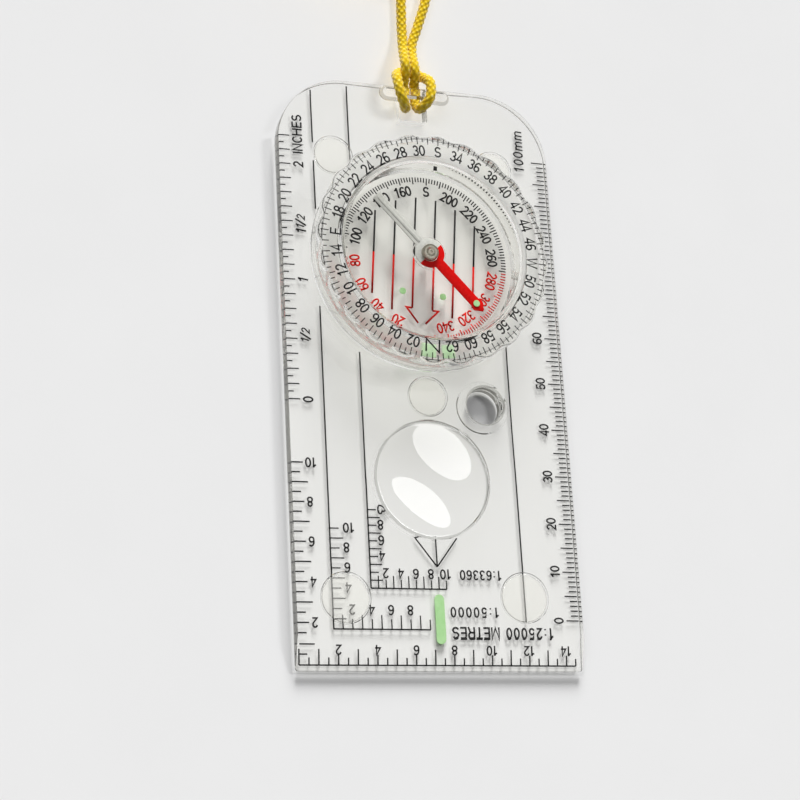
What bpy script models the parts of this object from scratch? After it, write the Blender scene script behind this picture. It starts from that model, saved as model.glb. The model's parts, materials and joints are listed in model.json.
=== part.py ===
"""Baseplate compass with a turning liquid capsule, a swinging needle and a neck lanyard.

Metres, +Z up. The origin lies on the surface that the compass rests on, under the middle of the
baseplate. +Y runs along the plate to the lanyard, so the direction of travel is -Y.
"""

from math import cos, degrees, pi, radians, sin, sqrt, tau

import bmesh
import bpy
from mathutils import Matrix, Vector

MM = 0.001
SMOOTH_ANGLE = radians(35)

# Heights, from the resting surface up
FOOT_PROUD = 0.6 * MM
PLATE_THICKNESS = 3.0 * MM
PLATE_BOTTOM = FOOT_PROUD
PLATE_TOP = PLATE_BOTTOM + PLATE_THICKNESS
BEZEL_TOP = 11.7 * MM
SKIRT_BOTTOM = PLATE_TOP + 0.3 * MM

# Baseplate
PLATE_WIDTH = 60.0 * MM
PLATE_LENGTH = 124.6 * MM
LANYARD_END_RADIUS = 15.0 * MM
RULER_END_RADIUS = 0.6 * MM
RULER_BEVEL_LENGTH = 6.5 * MM
RULER_EDGE_THICKNESS = 0.8 * MM
DIAL_AXIS = (0.0, 22.8 * MM)
DIAL_HOLE_RADIUS = 20.6 * MM
COUNTERBORE_RADIUS = 22.25 * MM
COUNTERBORE_DEPTH = 0.95 * MM
MARKING_HOLE = (12.0 * MM, -7.85 * MM)
MARKING_HOLE_RADIUS = 3.85 * MM
MARKING_HOLE_CHAMFER = 0.8 * MM
MARKING_BOSS_RADIUS = 5.75 * MM
MARKING_BOSS_DEPTH = 0.3 * MM

# Magnifier, a lens bonded into a blind pocket
LENS_AXIS = (-0.4 * MM, -23.9 * MM)
LENS_RADIUS = 12.3 * MM
LENS_DOME_RADIUS = 11.65 * MM
LENS_CURVATURE = 49.0 * MM
LENS_POCKET_FLOOR = 1.6 * MM

# Lanyard slot and the bar at the plate's end
SLOT_HALF_WIDTH = 3.15 * MM
SLOT_START = 54.4 * MM
BAR_START = 60.2 * MM
BAR_BOTTOM = 2.5 * MM
LUG_TOP = 4.3 * MM
LUG_HALF_LENGTH = 7.9 * MM
LUG_RADIUS = 1.75 * MM
LUG_CENTRE = (0.5 * MM, 60.45 * MM)

# Stick-on feet: name, centre, radius
FOOT_DEPTH_IN_PLATE = 0.4 * MM
SMALL_FOOT_RADIUS = 4.25 * MM
LARGE_FOOT_RADIUS = 5.15 * MM
FEET = (
    ("foot_upper_left", (-17.7 * MM, 45.8 * MM), SMALL_FOOT_RADIUS),
    ("foot_upper_right", (18.0 * MM, 45.5 * MM), SMALL_FOOT_RADIUS),
    ("foot_centre", (0.15 * MM, -6.0 * MM), SMALL_FOOT_RADIUS),
    ("foot_lower_left", (-19.3 * MM, -47.9 * MM), LARGE_FOOT_RADIUS),
    ("foot_lower_right", (18.35 * MM, -47.4 * MM), LARGE_FOOT_RADIUS),
)

# Direction-of-travel strip, laid in a groove in the underside
TRAVEL_LUME_ENDS = (-47.0 * MM, -56.7 * MM)
TRAVEL_LUME_WIDTH = 2.0 * MM
TRAVEL_LUME_THICKNESS = 0.3 * MM

# Dial: bezel, its hub through the plate, and the ring that holds it from below
DIAL_TURN = radians(-5.0)
LOBES = 24
STEPS_PER_LOBE = 4
LOBE_RADIUS = 25.1 * MM
LOBE_DEPTH = 0.6 * MM
LOBE_START = 9.3 * MM
SKIRT_RADIUS = 24.3 * MM
SKIRT_THICKNESS = 1.0 * MM
FLANGE_THICKNESS = 1.5 * MM
BEZEL_INNER_RADIUS = 19.8 * MM
HUB_INNER_RADIUS = 19.3 * MM
HUB_OUTER_RADIUS = 20.35 * MM
HUB_BOTTOM = 1.6 * MM
RETAINING_RING_RADIUS = 22.0 * MM
RETAINING_RING_BOTTOM = 0.7 * MM
RETAINING_RING_TOP = 1.4 * MM
BEZEL_LUME_RADII = (20.6 * MM, 23.3 * MM)
BEZEL_LUME_ANGLES = {"bezel_lume_left": (-5.1, 2.9), "bezel_lume_right": (6.3, 13.3)}
BEZEL_LUME_THICKNESS = 0.2 * MM

# Capsule
CAPSULE_RADIUS = 19.1 * MM
CAPSULE_INNER_RADIUS = 18.0 * MM
CAPSULE_BOTTOM = 0.7 * MM
CAPSULE_FLOOR = 1.6 * MM
COVER_BOTTOM = 9.5 * MM
COVER_TOP = 10.7 * MM
COVER_GAP = 0.1 * MM
PLUG_RADIUS = 0.9 * MM
PLUG_HEIGHT = 6.0 * MM
PLUG_ANGLE = radians(-5.0)
DOT_RADIUS = 0.68 * MM
DOT_THICKNESS = 0.15 * MM
ORIENTING_DOT_OFFSET = (4.2 * MM, 7.4 * MM)

# Needle and its bearing
NEEDLE_TURN = radians(-47.5)
NEEDLE_TIP_RADIUS = 16.0 * MM
NEEDLE_WIDTH = 2.3 * MM
NEEDLE_TAIL_WIDTH = 2.1 * MM
NEEDLE_THICKNESS = 0.3 * MM
NEEDLE_BOTTOM = 6.9 * MM
NEEDLE_RING_RADIUS = 3.2 * MM
NEEDLE_DOT_RADIUS = 13.9 * MM
NEEDLE_HUB_RADIUS = 3.5 * MM
NEEDLE_HUB_BOTTOM = 6.25 * MM
JEWEL_CAP_RADIUS = 1.75 * MM
JEWEL_CAP_BOTTOM = 6.1 * MM
JEWEL_CAP_TOP = 8.5 * MM
JEWEL_BORE_RADIUS = 0.95 * MM
JEWEL_BORE_TOP = 8.0 * MM
JEWEL_RADIUS = 0.85 * MM
JEWEL_BOTTOM = 7.1 * MM
JEWEL_TOP = 7.9 * MM
JEWEL_SEAT = 7.6 * MM
PIN_RADIUS = 0.45 * MM
PIN_TIP = 7.5 * MM
FIT = 0.1 * MM

# Lanyard: one cord doubled, hitched round the bar, wound up and knotted at its far end
CORD_DIAMETER = 2.3 * MM
CORD_GAP = 0.3 * MM
COIL_CENTRE = (-9.6 * MM, 101.5 * MM)
COIL_RADIUS = 12.5 * MM
COIL_WALL = 4.8 * MM
COIL_BOTTOM = 0.6 * MM
COIL_TOP = 12.3 * MM
HITCH_LEFT = (
    (0.5, 66.9, 1.25), (-1.3, 66.75, 1.5), (-2.9, 65.4, 2.9), (-3.6, 63.4, 5.0), (-3.55, 60.6, 5.85),
    (-2.8, 58.2, 5.6), (-1.85, 57.4, 4.1), (-1.2, 58.0, 2.5), (-1.0, 59.6, 1.5), (-0.95, 61.3, 1.25),
    (-1.05, 62.9, 1.45), (-1.25, 64.3, 2.7), (-1.35, 65.6, 4.1), (-1.35, 67.2, 4.5), (-1.2, 69.0, 3.7),
)
HITCH_RIGHT = (
    (0.5, 66.9, 1.25), (2.3, 66.45, 1.45), (3.55, 65.1, 2.9), (3.75, 63.4, 5.0), (3.6, 60.8, 5.85),
    (2.95, 58.7, 5.7), (1.9, 57.6, 4.2), (1.6, 58.1, 2.5), (1.5, 59.6, 1.5), (1.45, 61.3, 1.25),
    (1.35, 62.9, 1.45), (1.15, 64.3, 2.6), (0.95, 65.6, 3.75), (0.9, 67.2, 3.8), (1.0, 69.0, 2.9),
)
LEFT_STRAND = (
    (-1.16, 69.35, 3.5), (-0.95, 71.2, 2.6), (-0.7, 74.0, 1.7), (-0.5, 78.0, 1.2), (-0.3, 84.3, 1.2),
    (-0.2, 88.7, 1.25),
)
RIGHT_STRAND = (
    (1.04, 69.35, 2.72), (1.26, 71.2, 1.8), (1.65, 74.0, 1.25), (3.1, 78.0, 1.2), (5.4, 84.8, 1.2),
    (6.2, 89.5, 1.2), (6.0, 94.6, 1.3),
)
KNOT_RADII = (3.4 * MM, 4.6 * MM, 2.9 * MM)
TIE_WIDTH = 3.0 * MM
TIE_THICKNESS = 0.35 * MM
TIE_ANGLE = radians(150)


def clear_scene():
    for obj in list(bpy.data.objects):
        bpy.data.objects.remove(obj, do_unlink=True)


def make_material(name, colour, roughness, metallic=0.0, transmission=0.0):
    material = bpy.data.materials.new(name)
    material.use_nodes = True
    shader = material.node_tree.nodes["Principled BSDF"]
    shader.inputs["Base Color"].default_value = (*colour, 1.0)
    shader.inputs["Roughness"].default_value = roughness
    shader.inputs["Metallic"].default_value = metallic
    shader.inputs["Transmission Weight"].default_value = transmission
    material.diffuse_color = (*colour, 1.0 - 0.7 * transmission)
    return material


def make_empty(name, location, turn=0.0, parent=None):
    empty = bpy.data.objects.new(name, None)
    bpy.context.scene.collection.objects.link(empty)
    empty.empty_display_size = 5 * MM
    empty.location = location
    empty.rotation_euler.z = turn
    empty.parent = parent
    return empty


def make_object(name, bm, material=None, parent=None):
    bmesh.ops.recalc_face_normals(bm, faces=bm.faces)
    mesh = bpy.data.meshes.new(name)
    bm.to_mesh(mesh)
    bm.free()
    mesh.shade_smooth()
    mesh.set_sharp_from_angle(angle=SMOOTH_ANGLE)
    obj = bpy.data.objects.new(name, mesh)
    bpy.context.scene.collection.objects.link(obj)
    obj.parent = parent
    if material:
        mesh.materials.append(material)
    return obj


def boolean(target, tool, operation):
    tool.hide_render = True
    tool.display_type = "WIRE"
    modifier = target.modifiers.new(f"{operation.lower()} {tool.name}", "BOOLEAN")
    modifier.operation = operation
    modifier.solver = "EXACT"
    modifier.object = tool


def turned(profile, steps=96, radius_at=None):
    """A bmesh turned about Z from a closed profile of (radius, height); a radius of 0 is a pole."""
    bm = bmesh.new()
    rings = []
    for radius, height in profile:
        if radius == 0:
            rings.append([bm.verts.new((0, 0, height))] * steps)
            continue
        ring = []
        for step in range(steps):
            angle = tau * step / steps
            at = radius_at(radius, height, angle) if radius_at else radius
            ring.append(bm.verts.new((at * cos(angle), at * sin(angle), height)))
        rings.append(ring)
    for here, there in zip(rings, rings[1:] + rings[:1]):
        for step in range(steps):
            following = (step + 1) % steps
            corners = [here[step], here[following], there[following], there[step]]
            face = list(dict.fromkeys(corners))
            if len(face) > 2:
                bm.faces.new(face)
    return bm


def extruded(outline, bottom, top):
    bm = bmesh.new()
    floor = bm.faces.new([bm.verts.new((x, y, bottom)) for x, y in outline])
    lifted = bmesh.ops.extrude_face_region(bm, geom=[floor])["geom"]
    verts = [item for item in lifted if isinstance(item, bmesh.types.BMVert)]
    bmesh.ops.translate(bm, vec=(0, 0, top - bottom), verts=verts)
    return bm


def moved(bm, x, y):
    bmesh.ops.translate(bm, vec=(x, y, 0), verts=bm.verts)
    return bm


def arc(centre, radius, start, end, steps):
    """Points on an arc, its angles in degrees."""
    for step in range(steps + 1):
        angle = radians(start + (end - start) * step / steps)
        yield centre[0] + radius * cos(angle), centre[1] + radius * sin(angle)


def stadium(centre, half_length, radius, steps=10):
    """A slot shape along X with round ends."""
    x, y = centre
    straight = half_length - radius
    right = arc((x + straight, y), radius, -90, 90, steps)
    left = arc((x - straight, y), radius, 90, 270, steps)
    return [*right, *left]


def disc(radius, bottom, top, steps=48):
    return turned([(0, bottom), (radius, bottom), (radius, top), (0, top)], steps)


def plate_outline():
    x, y = PLATE_WIDTH / 2, PLATE_LENGTH / 2
    low, high = RULER_END_RADIUS, LANYARD_END_RADIUS
    return [
        *arc((x - low, -y + low), low, -90, 0, 3),
        *arc((x - high, y - high), high, 0, 90, 16),
        *arc((-x + high, y - high), high, 90, 180, 16),
        *arc((-x + low, -y + low), low, 180, 270, 3),
    ]


def ruler_bevel_cutter():
    """A wedge along X whose underside is the sloping face of the ruler end."""
    edge_z = PLATE_BOTTOM + RULER_EDGE_THICKNESS
    slope = (PLATE_TOP - edge_z) / RULER_BEVEL_LENGTH
    edge_y = -PLATE_LENGTH / 2
    reach = 2 * MM
    top = PLATE_TOP + reach
    section = (
        (edge_y - reach, edge_z - reach * slope),
        (edge_y + (top - edge_z) / slope, top),
        (edge_y - reach, top),
    )
    bm = bmesh.new()
    half = PLATE_WIDTH / 2 + reach
    side = bm.faces.new([bm.verts.new((-half, y, z)) for y, z in section])
    lifted = bmesh.ops.extrude_face_region(bm, geom=[side])["geom"]
    verts = [item for item in lifted if isinstance(item, bmesh.types.BMVert)]
    bmesh.ops.translate(bm, vec=(2 * half, 0, 0), verts=verts)
    return bm


def lanyard_lug():
    """The rounded bar across the lanyard end, standing a little above the plate."""
    bm = extruded(stadium(LUG_CENTRE, LUG_HALF_LENGTH, LUG_RADIUS), PLATE_BOTTOM + 1 * MM, LUG_TOP)
    rim = [edge for edge in bm.edges if all(vert.co.z > LUG_TOP - FIT for vert in edge.verts)]
    bmesh.ops.bevel(bm, geom=rim, offset=0.5 * MM, segments=3, profile=0.5, affect="EDGES")
    return bm


def block(low, high):
    bm = bmesh.new()
    bmesh.ops.create_cube(bm, size=1.0)
    for vert in bm.verts:
        vert.co = [(a + b) / 2 + c * (b - a) for a, b, c in zip(low, high, vert.co)]
    return bm


def plate_cutters():
    """(name, bmesh) of all that is cut from the plate."""
    over, under = PLATE_TOP + 3 * MM, -1 * MM
    counterbore_top = PLATE_BOTTOM + COUNTERBORE_DEPTH
    dial = [(0, under), (COUNTERBORE_RADIUS, under), (COUNTERBORE_RADIUS, counterbore_top)]
    dial += [(DIAL_HOLE_RADIUS, counterbore_top), (DIAL_HOLE_RADIUS, over), (0, over)]
    yield "dial_hole_cutter", moved(turned(dial), *DIAL_AXIS)
    yield "lens_pocket_cutter", moved(disc(LENS_RADIUS + FIT, LENS_POCKET_FLOOR, over, 72), *LENS_AXIS)
    wide = MARKING_HOLE_RADIUS + MARKING_HOLE_CHAMFER
    chamfer_start = PLATE_TOP - MARKING_HOLE_CHAMFER
    hole = [(0, under), (MARKING_HOLE_RADIUS, under), (MARKING_HOLE_RADIUS, chamfer_start)]
    hole += [(wide, PLATE_TOP), (wide, over), (0, over)]
    yield "marking_hole_cutter", moved(turned(hole, 40), *MARKING_HOLE)
    slot = (-SLOT_HALF_WIDTH, SLOT_START, under), (SLOT_HALF_WIDTH, BAR_START, over)
    yield "slot_cutter", block(*slot)
    past_end = PLATE_LENGTH / 2 + 1 * MM
    scoop = (-SLOT_HALF_WIDTH, BAR_START - 1 * MM, under), (SLOT_HALF_WIDTH, past_end, BAR_BOTTOM)
    yield "cord_scoop_cutter", block(*scoop)
    for name, centre, radius in FEET:
        recess = disc(radius + FIT, under, PLATE_BOTTOM + FOOT_DEPTH_IN_PLATE + FIT, 36)
        yield f"{name}_cutter", moved(recess, *centre)
    yield "travel_groove_cutter", travel_strip(FIT, under, PLATE_BOTTOM + TRAVEL_LUME_THICKNESS + 2 * FIT)


def travel_strip(margin, bottom, top):
    length = (TRAVEL_LUME_ENDS[0] - TRAVEL_LUME_ENDS[1]) / 2
    middle = sum(TRAVEL_LUME_ENDS) / 2
    bm = extruded(stadium((0, 0), length + margin, TRAVEL_LUME_WIDTH / 2 + margin), bottom, top)
    bmesh.ops.rotate(bm, cent=(0, 0, 0), matrix=Matrix.Rotation(pi / 2, 3, "Z"), verts=bm.verts)
    return moved(bm, 0, middle)


def make_baseplate(material):
    plate = make_object("baseplate", extruded(plate_outline(), PLATE_BOTTOM, PLATE_TOP), material)
    boolean(plate, make_object("ruler_bevel_cutter", ruler_bevel_cutter()), "DIFFERENCE")
    boolean(plate, make_object("lug_tool", lanyard_lug()), "UNION")
    boss = disc(MARKING_BOSS_RADIUS, PLATE_BOTTOM - MARKING_BOSS_DEPTH, PLATE_BOTTOM + 1 * MM)
    boolean(plate, make_object("marking_boss_tool", moved(boss, *MARKING_HOLE)), "UNION")
    for name, bm in plate_cutters():
        boolean(plate, make_object(name, bm), "DIFFERENCE")


def make_magnifier(material):
    bottom = LENS_POCKET_FLOOR + FIT
    drop = LENS_CURVATURE - sqrt(LENS_CURVATURE**2 - LENS_DOME_RADIUS**2)
    profile = [(0, bottom), (LENS_RADIUS, bottom), (LENS_RADIUS, PLATE_TOP)]
    rings = 7
    for ring in range(rings, 0, -1):
        radius = LENS_DOME_RADIUS * ring / rings
        sag = LENS_CURVATURE - sqrt(LENS_CURVATURE**2 - radius**2)
        profile.append((radius, PLATE_TOP + drop - sag))
    profile.append((0, PLATE_TOP + drop))
    make_object("magnifier_lens", moved(turned(profile, 60), *LENS_AXIS), material)


def make_feet(material):
    for name, centre, radius in FEET:
        edge = 0.3 * MM
        top = PLATE_BOTTOM + FOOT_DEPTH_IN_PLATE
        profile = [(0, 0), (radius - edge, 0), (radius, edge), (radius, top), (0, top)]
        make_object(name, moved(turned(profile, 36), *centre), material)


def make_travel_strip(material):
    bottom = PLATE_BOTTOM + FIT
    strip = travel_strip(0, bottom, bottom + TRAVEL_LUME_THICKNESS)
    make_object("travel_lume_bar", strip, material)


def lobed(radius, height, angle):
    """The bezel's outer radius, which swings between lobe and valley near its top."""
    if height < LOBE_START or radius < SKIRT_RADIUS:
        return radius
    return radius - LOBE_DEPTH * (0.5 - 0.5 * cos(LOBES * angle))


def make_bezel(material, dial):
    underside = BEZEL_TOP - FLANGE_THICKNESS
    skirt_inside = SKIRT_RADIUS - SKIRT_THICKNESS
    round_edge = 0.4 * MM
    profile = [
        (SKIRT_RADIUS, SKIRT_BOTTOM),
        (SKIRT_RADIUS, LOBE_START - 0.8 * MM),
        (LOBE_RADIUS, LOBE_START + 0.6 * MM),
        (LOBE_RADIUS, BEZEL_TOP - round_edge),
        (LOBE_RADIUS - round_edge, BEZEL_TOP),
        (BEZEL_INNER_RADIUS, BEZEL_TOP),
        (HUB_INNER_RADIUS + FIT, underside),
        (HUB_INNER_RADIUS, underside - FIT),
        (HUB_INNER_RADIUS, HUB_BOTTOM),
        (HUB_OUTER_RADIUS, HUB_BOTTOM),
        (HUB_OUTER_RADIUS, underside),
        (skirt_inside + 0.3 * MM, underside),
        (skirt_inside, SKIRT_BOTTOM),
    ]
    make_object("bezel", turned(profile, LOBES * STEPS_PER_LOBE, lobed), material, dial)


def make_bezel_lume(material, dial):
    """Two patches under the flange, either side of the north mark, angles in degrees round from it."""
    top = BEZEL_TOP - FLANGE_THICKNESS - FIT
    inner, outer = BEZEL_LUME_RADII
    for name, (start, end) in BEZEL_LUME_ANGLES.items():
        rim = [*arc((0, 0), outer, -90 + start, -90 + end, 6)]
        rim += arc((0, 0), inner, -90 + end, -90 + start, 6)
        make_object(name, extruded(rim, top - BEZEL_LUME_THICKNESS, top), material, dial)


def make_retaining_ring(material, dial):
    bottom, top = RETAINING_RING_BOTTOM, RETAINING_RING_TOP
    inner, outer = HUB_INNER_RADIUS + 2 * FIT, RETAINING_RING_RADIUS
    profile = [(inner, bottom), (outer, bottom), (outer, top), (inner, top)]
    make_object("bezel_retaining_ring", turned(profile), material, dial)


def radial_rod(radius, near, far, steps=16):
    """A short rod pointing out from the dial's axis through the capsule wall."""
    bm = disc(radius, near, far, steps)
    turn = Matrix.Rotation(PLUG_ANGLE, 4, "Z") @ Matrix.Rotation(pi / 2, 4, "Y")
    bmesh.ops.transform(bm, matrix=Matrix.Translation((0, 0, PLUG_HEIGHT)) @ turn, verts=bm.verts)
    return bm


def make_capsule(clear, plug_material, dial):
    wall_top = COVER_BOTTOM - COVER_GAP
    cup = [
        (0, CAPSULE_BOTTOM), (CAPSULE_RADIUS, CAPSULE_BOTTOM), (CAPSULE_RADIUS, wall_top),
        (CAPSULE_INNER_RADIUS, wall_top), (CAPSULE_INNER_RADIUS, CAPSULE_FLOOR), (0, CAPSULE_FLOOR),
    ]
    shell = make_object("capsule_cup", turned(cup, 72), clear, dial)
    through = radial_rod(PLUG_RADIUS + FIT, CAPSULE_INNER_RADIUS - 1 * MM, CAPSULE_RADIUS + 1 * MM)
    boolean(shell, make_object("plug_hole_cutter", through, parent=dial), "DIFFERENCE")
    edge = 0.2 * MM
    cover = [
        (0, COVER_BOTTOM), (CAPSULE_RADIUS, COVER_BOTTOM), (CAPSULE_RADIUS, COVER_TOP - edge),
        (CAPSULE_RADIUS - edge, COVER_TOP), (0, COVER_TOP),
    ]
    make_object("capsule_cover", turned(cover, 72), clear, dial)
    plug = radial_rod(PLUG_RADIUS, CAPSULE_INNER_RADIUS + FIT, CAPSULE_RADIUS - FIT)
    make_object("filler_plug", plug, plug_material, dial)


def make_pivot_pin(material, dial):
    bottom = CAPSULE_FLOOR + FIT
    shoulder = bottom + 0.8 * MM
    cone = PIN_TIP - 1.2 * MM
    profile = [
        (0, bottom), (2.2 * PIN_RADIUS, bottom), (2.2 * PIN_RADIUS, shoulder), (PIN_RADIUS, shoulder),
        (PIN_RADIUS, cone), (0.2 * PIN_RADIUS, PIN_TIP), (0, PIN_TIP),
    ]
    make_object("pivot_pin", turned(profile, 20), material, dial)


def make_orienting_dots(material, dial):
    """Two dots beside the orienting arrow, between its meridian lines."""
    across, along = ORIENTING_DOT_OFFSET
    bottom = CAPSULE_FLOOR + FIT
    for name, side in (("orienting_lume_left", -1), ("orienting_lume_right", 1)):
        dot = disc(DOT_RADIUS, bottom, bottom + DOT_THICKNESS, 24)
        make_object(name, moved(dot, side * across, -along), material, dial)


def needle_outline():
    """The strip seen from above along +X: a rounded north end, a squarer south end, a ring between."""
    half, tail = NEEDLE_WIDTH / 2, NEEDLE_TAIL_WIDTH / 2
    meet = sqrt(NEEDLE_RING_RADIUS**2 - half**2)
    meet_tail = sqrt(NEEDLE_RING_RADIUS**2 - tail**2)
    ring_angle = degrees(Vector((meet, half)).angle(Vector((1, 0))))
    tail_angle = degrees(Vector((meet_tail, tail)).angle(Vector((1, 0))))
    nose = NEEDLE_TIP_RADIUS - 1.1 * MM
    return [
        *arc((0, 0), NEEDLE_RING_RADIUS, ring_angle, 180 - tail_angle, 12),
        (-NEEDLE_TIP_RADIUS + 0.3 * MM, tail), (-NEEDLE_TIP_RADIUS, tail - 0.3 * MM),
        (-NEEDLE_TIP_RADIUS, -tail + 0.3 * MM), (-NEEDLE_TIP_RADIUS + 0.3 * MM, -tail),
        *arc((0, 0), NEEDLE_RING_RADIUS, 180 + tail_angle, 360 - ring_angle, 12),
        (nose, -half), (nose + 0.6 * MM, -0.75 * half), (NEEDLE_TIP_RADIUS, -0.25 * half),
        (NEEDLE_TIP_RADIUS, 0.25 * half), (nose + 0.6 * MM, 0.75 * half), (nose, half),
    ]


def make_needle(paint, clear, brass, jewel, lume, needle):
    bore = JEWEL_CAP_RADIUS + FIT
    bar_top = NEEDLE_BOTTOM + NEEDLE_THICKNESS
    bar = make_object("needle_bar", extruded(needle_outline(), NEEDLE_BOTTOM, bar_top), paint, needle)
    hole = disc(bore, NEEDLE_BOTTOM - 1 * MM, bar_top + 1 * MM, 32)
    boolean(bar, make_object("needle_hole_cutter", hole, parent=needle), "DIFFERENCE")

    hub_top = NEEDLE_BOTTOM - FIT
    hub = [(bore, NEEDLE_HUB_BOTTOM), (NEEDLE_HUB_RADIUS, NEEDLE_HUB_BOTTOM)]
    hub += [(NEEDLE_HUB_RADIUS, hub_top), (bore, hub_top)]
    make_object("needle_hub", turned(hub, 40), clear, needle)

    dimple = 0.25 * MM
    cap = [
        (JEWEL_BORE_RADIUS, JEWEL_CAP_BOTTOM), (JEWEL_CAP_RADIUS, JEWEL_CAP_BOTTOM),
        (JEWEL_CAP_RADIUS, JEWEL_CAP_TOP - dimple), (JEWEL_CAP_RADIUS - dimple, JEWEL_CAP_TOP),
        (0.5 * JEWEL_CAP_RADIUS, JEWEL_CAP_TOP), (0.3 * JEWEL_CAP_RADIUS, JEWEL_CAP_TOP - dimple),
        (0, JEWEL_CAP_TOP - dimple), (0, JEWEL_BORE_TOP), (JEWEL_BORE_RADIUS, JEWEL_BORE_TOP),
    ]
    make_object("jewel_cap", turned(cap, 32), brass, needle)

    cup = [
        (0, JEWEL_SEAT), (0.2 * MM, JEWEL_SEAT - 0.05 * MM), (0.6 * MM, JEWEL_BOTTOM),
        (JEWEL_RADIUS, JEWEL_BOTTOM), (JEWEL_RADIUS, JEWEL_TOP), (0, JEWEL_TOP),
    ]
    make_object("jewel_bearing", turned(cup, 24), jewel, needle)

    dot = disc(DOT_RADIUS, bar_top + FIT, bar_top + FIT + DOT_THICKNESS, 24)
    make_object("needle_lume_dot", moved(dot, NEEDLE_DOT_RADIUS, 0), lume, needle)


def smooth_path(points, per_span):
    """Points in metres on a Catmull-Rom curve through points given in millimetres."""
    knots = [Vector(point) * MM for point in points]
    knots = [2 * knots[0] - knots[1], *knots, 2 * knots[-1] - knots[-2]]
    path = []
    for a, b, c, d in zip(knots, knots[1:], knots[2:], knots[3:]):
        for step in range(per_span):
            t = step / per_span
            bend, twist = 2 * a - 5 * b + 4 * c - d, 3 * b - a - 3 * c + d
            path.append(0.5 * (2 * b + (c - a) * t + bend * t**2 + twist * t**3))
    path.append(knots[-2])
    return path


def cord_tube(name, path, material):
    curve = bpy.data.curves.new(name, "CURVE")
    curve.dimensions = "3D"
    curve.bevel_depth = CORD_DIAMETER / 2
    curve.bevel_resolution = 2
    curve.use_fill_caps = True
    spline = curve.splines.new("POLY")
    spline.points.add(len(path) - 1)
    for spot, point in zip(spline.points, path):
        spot.co = (*point, 1.0)
    curve.materials.append(material)
    obj = bpy.data.objects.new(name, curve)
    bpy.context.scene.collection.objects.link(obj)
    return obj


def make_lanyard(cord, tie_material):
    route = [*reversed(HITCH_LEFT), *HITCH_RIGHT[1:]]
    cord_tube("lanyard_hitch", smooth_path(route, 2), cord)
    cord_tube("lanyard_left_strand", smooth_path(LEFT_STRAND, 2), cord)
    cord_tube("lanyard_right_strand", smooth_path(RIGHT_STRAND, 2), cord)

    x, y = COIL_CENTRE
    inner, outer = COIL_RADIUS - COIL_WALL / 2, COIL_RADIUS + COIL_WALL / 2
    edge = CORD_DIAMETER / 3
    ring = [
        (inner, COIL_BOTTOM + edge), (inner + edge, COIL_BOTTOM), (outer - edge, COIL_BOTTOM),
        (outer, COIL_BOTTOM + edge), (outer, COIL_TOP - edge), (outer - edge, COIL_TOP),
        (inner + edge, COIL_TOP), (inner, COIL_TOP - edge),
    ]
    make_object("lanyard_coil", moved(turned(ring, 48), x, y), cord)
    make_knot(cord)
    make_tie(tie_material)


def make_knot(cord):
    """A round overhand knot in both strands' ends, lying on the coil."""
    bm = bmesh.new()
    bmesh.ops.create_uvsphere(bm, u_segments=20, v_segments=12, radius=1.0)
    bmesh.ops.scale(bm, vec=KNOT_RADII, verts=bm.verts)
    x, y = COIL_CENTRE
    centre = (x - COIL_RADIUS, y, COIL_TOP + CORD_GAP + KNOT_RADII[2])
    bmesh.ops.translate(bm, vec=centre, verts=bm.verts)
    make_object("lanyard_knot", bm, cord)


def make_tie(material):
    """A flat band wrapped once round the coil's section."""
    inner = COIL_RADIUS - COIL_WALL / 2 - 2 * FIT, COIL_BOTTOM - FIT
    outer = COIL_RADIUS + COIL_WALL / 2 + FIT, COIL_TOP + FIT
    bm = bmesh.new()
    loops = []
    for grow in (0, TIE_THICKNESS):
        low = inner[0] - grow, inner[1] - grow
        high = outer[0] + grow, outer[1] + grow
        loops.append([low, (high[0], low[1]), high, (low[0], high[1])])
    for y in (-TIE_WIDTH / 2, TIE_WIDTH / 2):
        hole, rim = ([bm.verts.new((r, y, z)) for r, z in loop] for loop in loops)
        for side in range(4):
            after = (side + 1) % 4
            bm.faces.new([hole[side], hole[after], rim[after], rim[side]])
    near, far = bm.verts[:8], bm.verts[8:]
    for start in (0, 4):
        for side in range(4):
            after = (side + 1) % 4
            corners = [near[start + side], near[start + after], far[start + after], far[start + side]]
            bm.faces.new(corners)
    bmesh.ops.rotate(bm, cent=(0, 0, 0), matrix=Matrix.Rotation(TIE_ANGLE, 3, "Z"), verts=bm.verts)
    make_object("coil_tie", moved(bm, *COIL_CENTRE), material)


def build():
    clear_scene()
    acrylic = make_material("clear_acrylic", (0.93, 0.94, 0.92), 0.05, transmission=1.0)
    silicone = make_material("clear_silicone", (0.9, 0.9, 0.88), 0.25, transmission=0.8)
    lume = make_material("luminous_green", (0.42, 0.72, 0.35), 0.6)
    paint = make_material("needle_paint", (0.75, 0.01, 0.01), 0.35)
    brass = make_material("nickel_brass", (0.5, 0.46, 0.36), 0.3, metallic=1.0)
    steel = make_material("hard_steel", (0.6, 0.6, 0.6), 0.25, metallic=1.0)
    jewel = make_material("bearing_jewel", (0.8, 0.85, 0.9), 0.05, transmission=1.0)
    cord = make_material("yellow_cord", (0.8, 0.5, 0.01), 0.7)
    black = make_material("black_rubber", (0.03, 0.03, 0.03), 0.6)

    make_baseplate(acrylic)
    make_magnifier(acrylic)
    make_feet(silicone)
    make_travel_strip(lume)
    make_lanyard(cord, black)

    dial = make_empty("dial_axis", (*DIAL_AXIS, 0), DIAL_TURN)
    make_bezel(acrylic, dial)
    make_bezel_lume(lume, dial)
    make_retaining_ring(acrylic, dial)
    make_capsule(acrylic, silicone, dial)
    make_pivot_pin(steel, dial)
    make_orienting_dots(lume, dial)

    needle = make_empty("needle_axis", (0, 0, 0), NEEDLE_TURN - DIAL_TURN, dial)
    make_needle(paint, acrylic, brass, jewel, lume, needle)


build()
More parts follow.
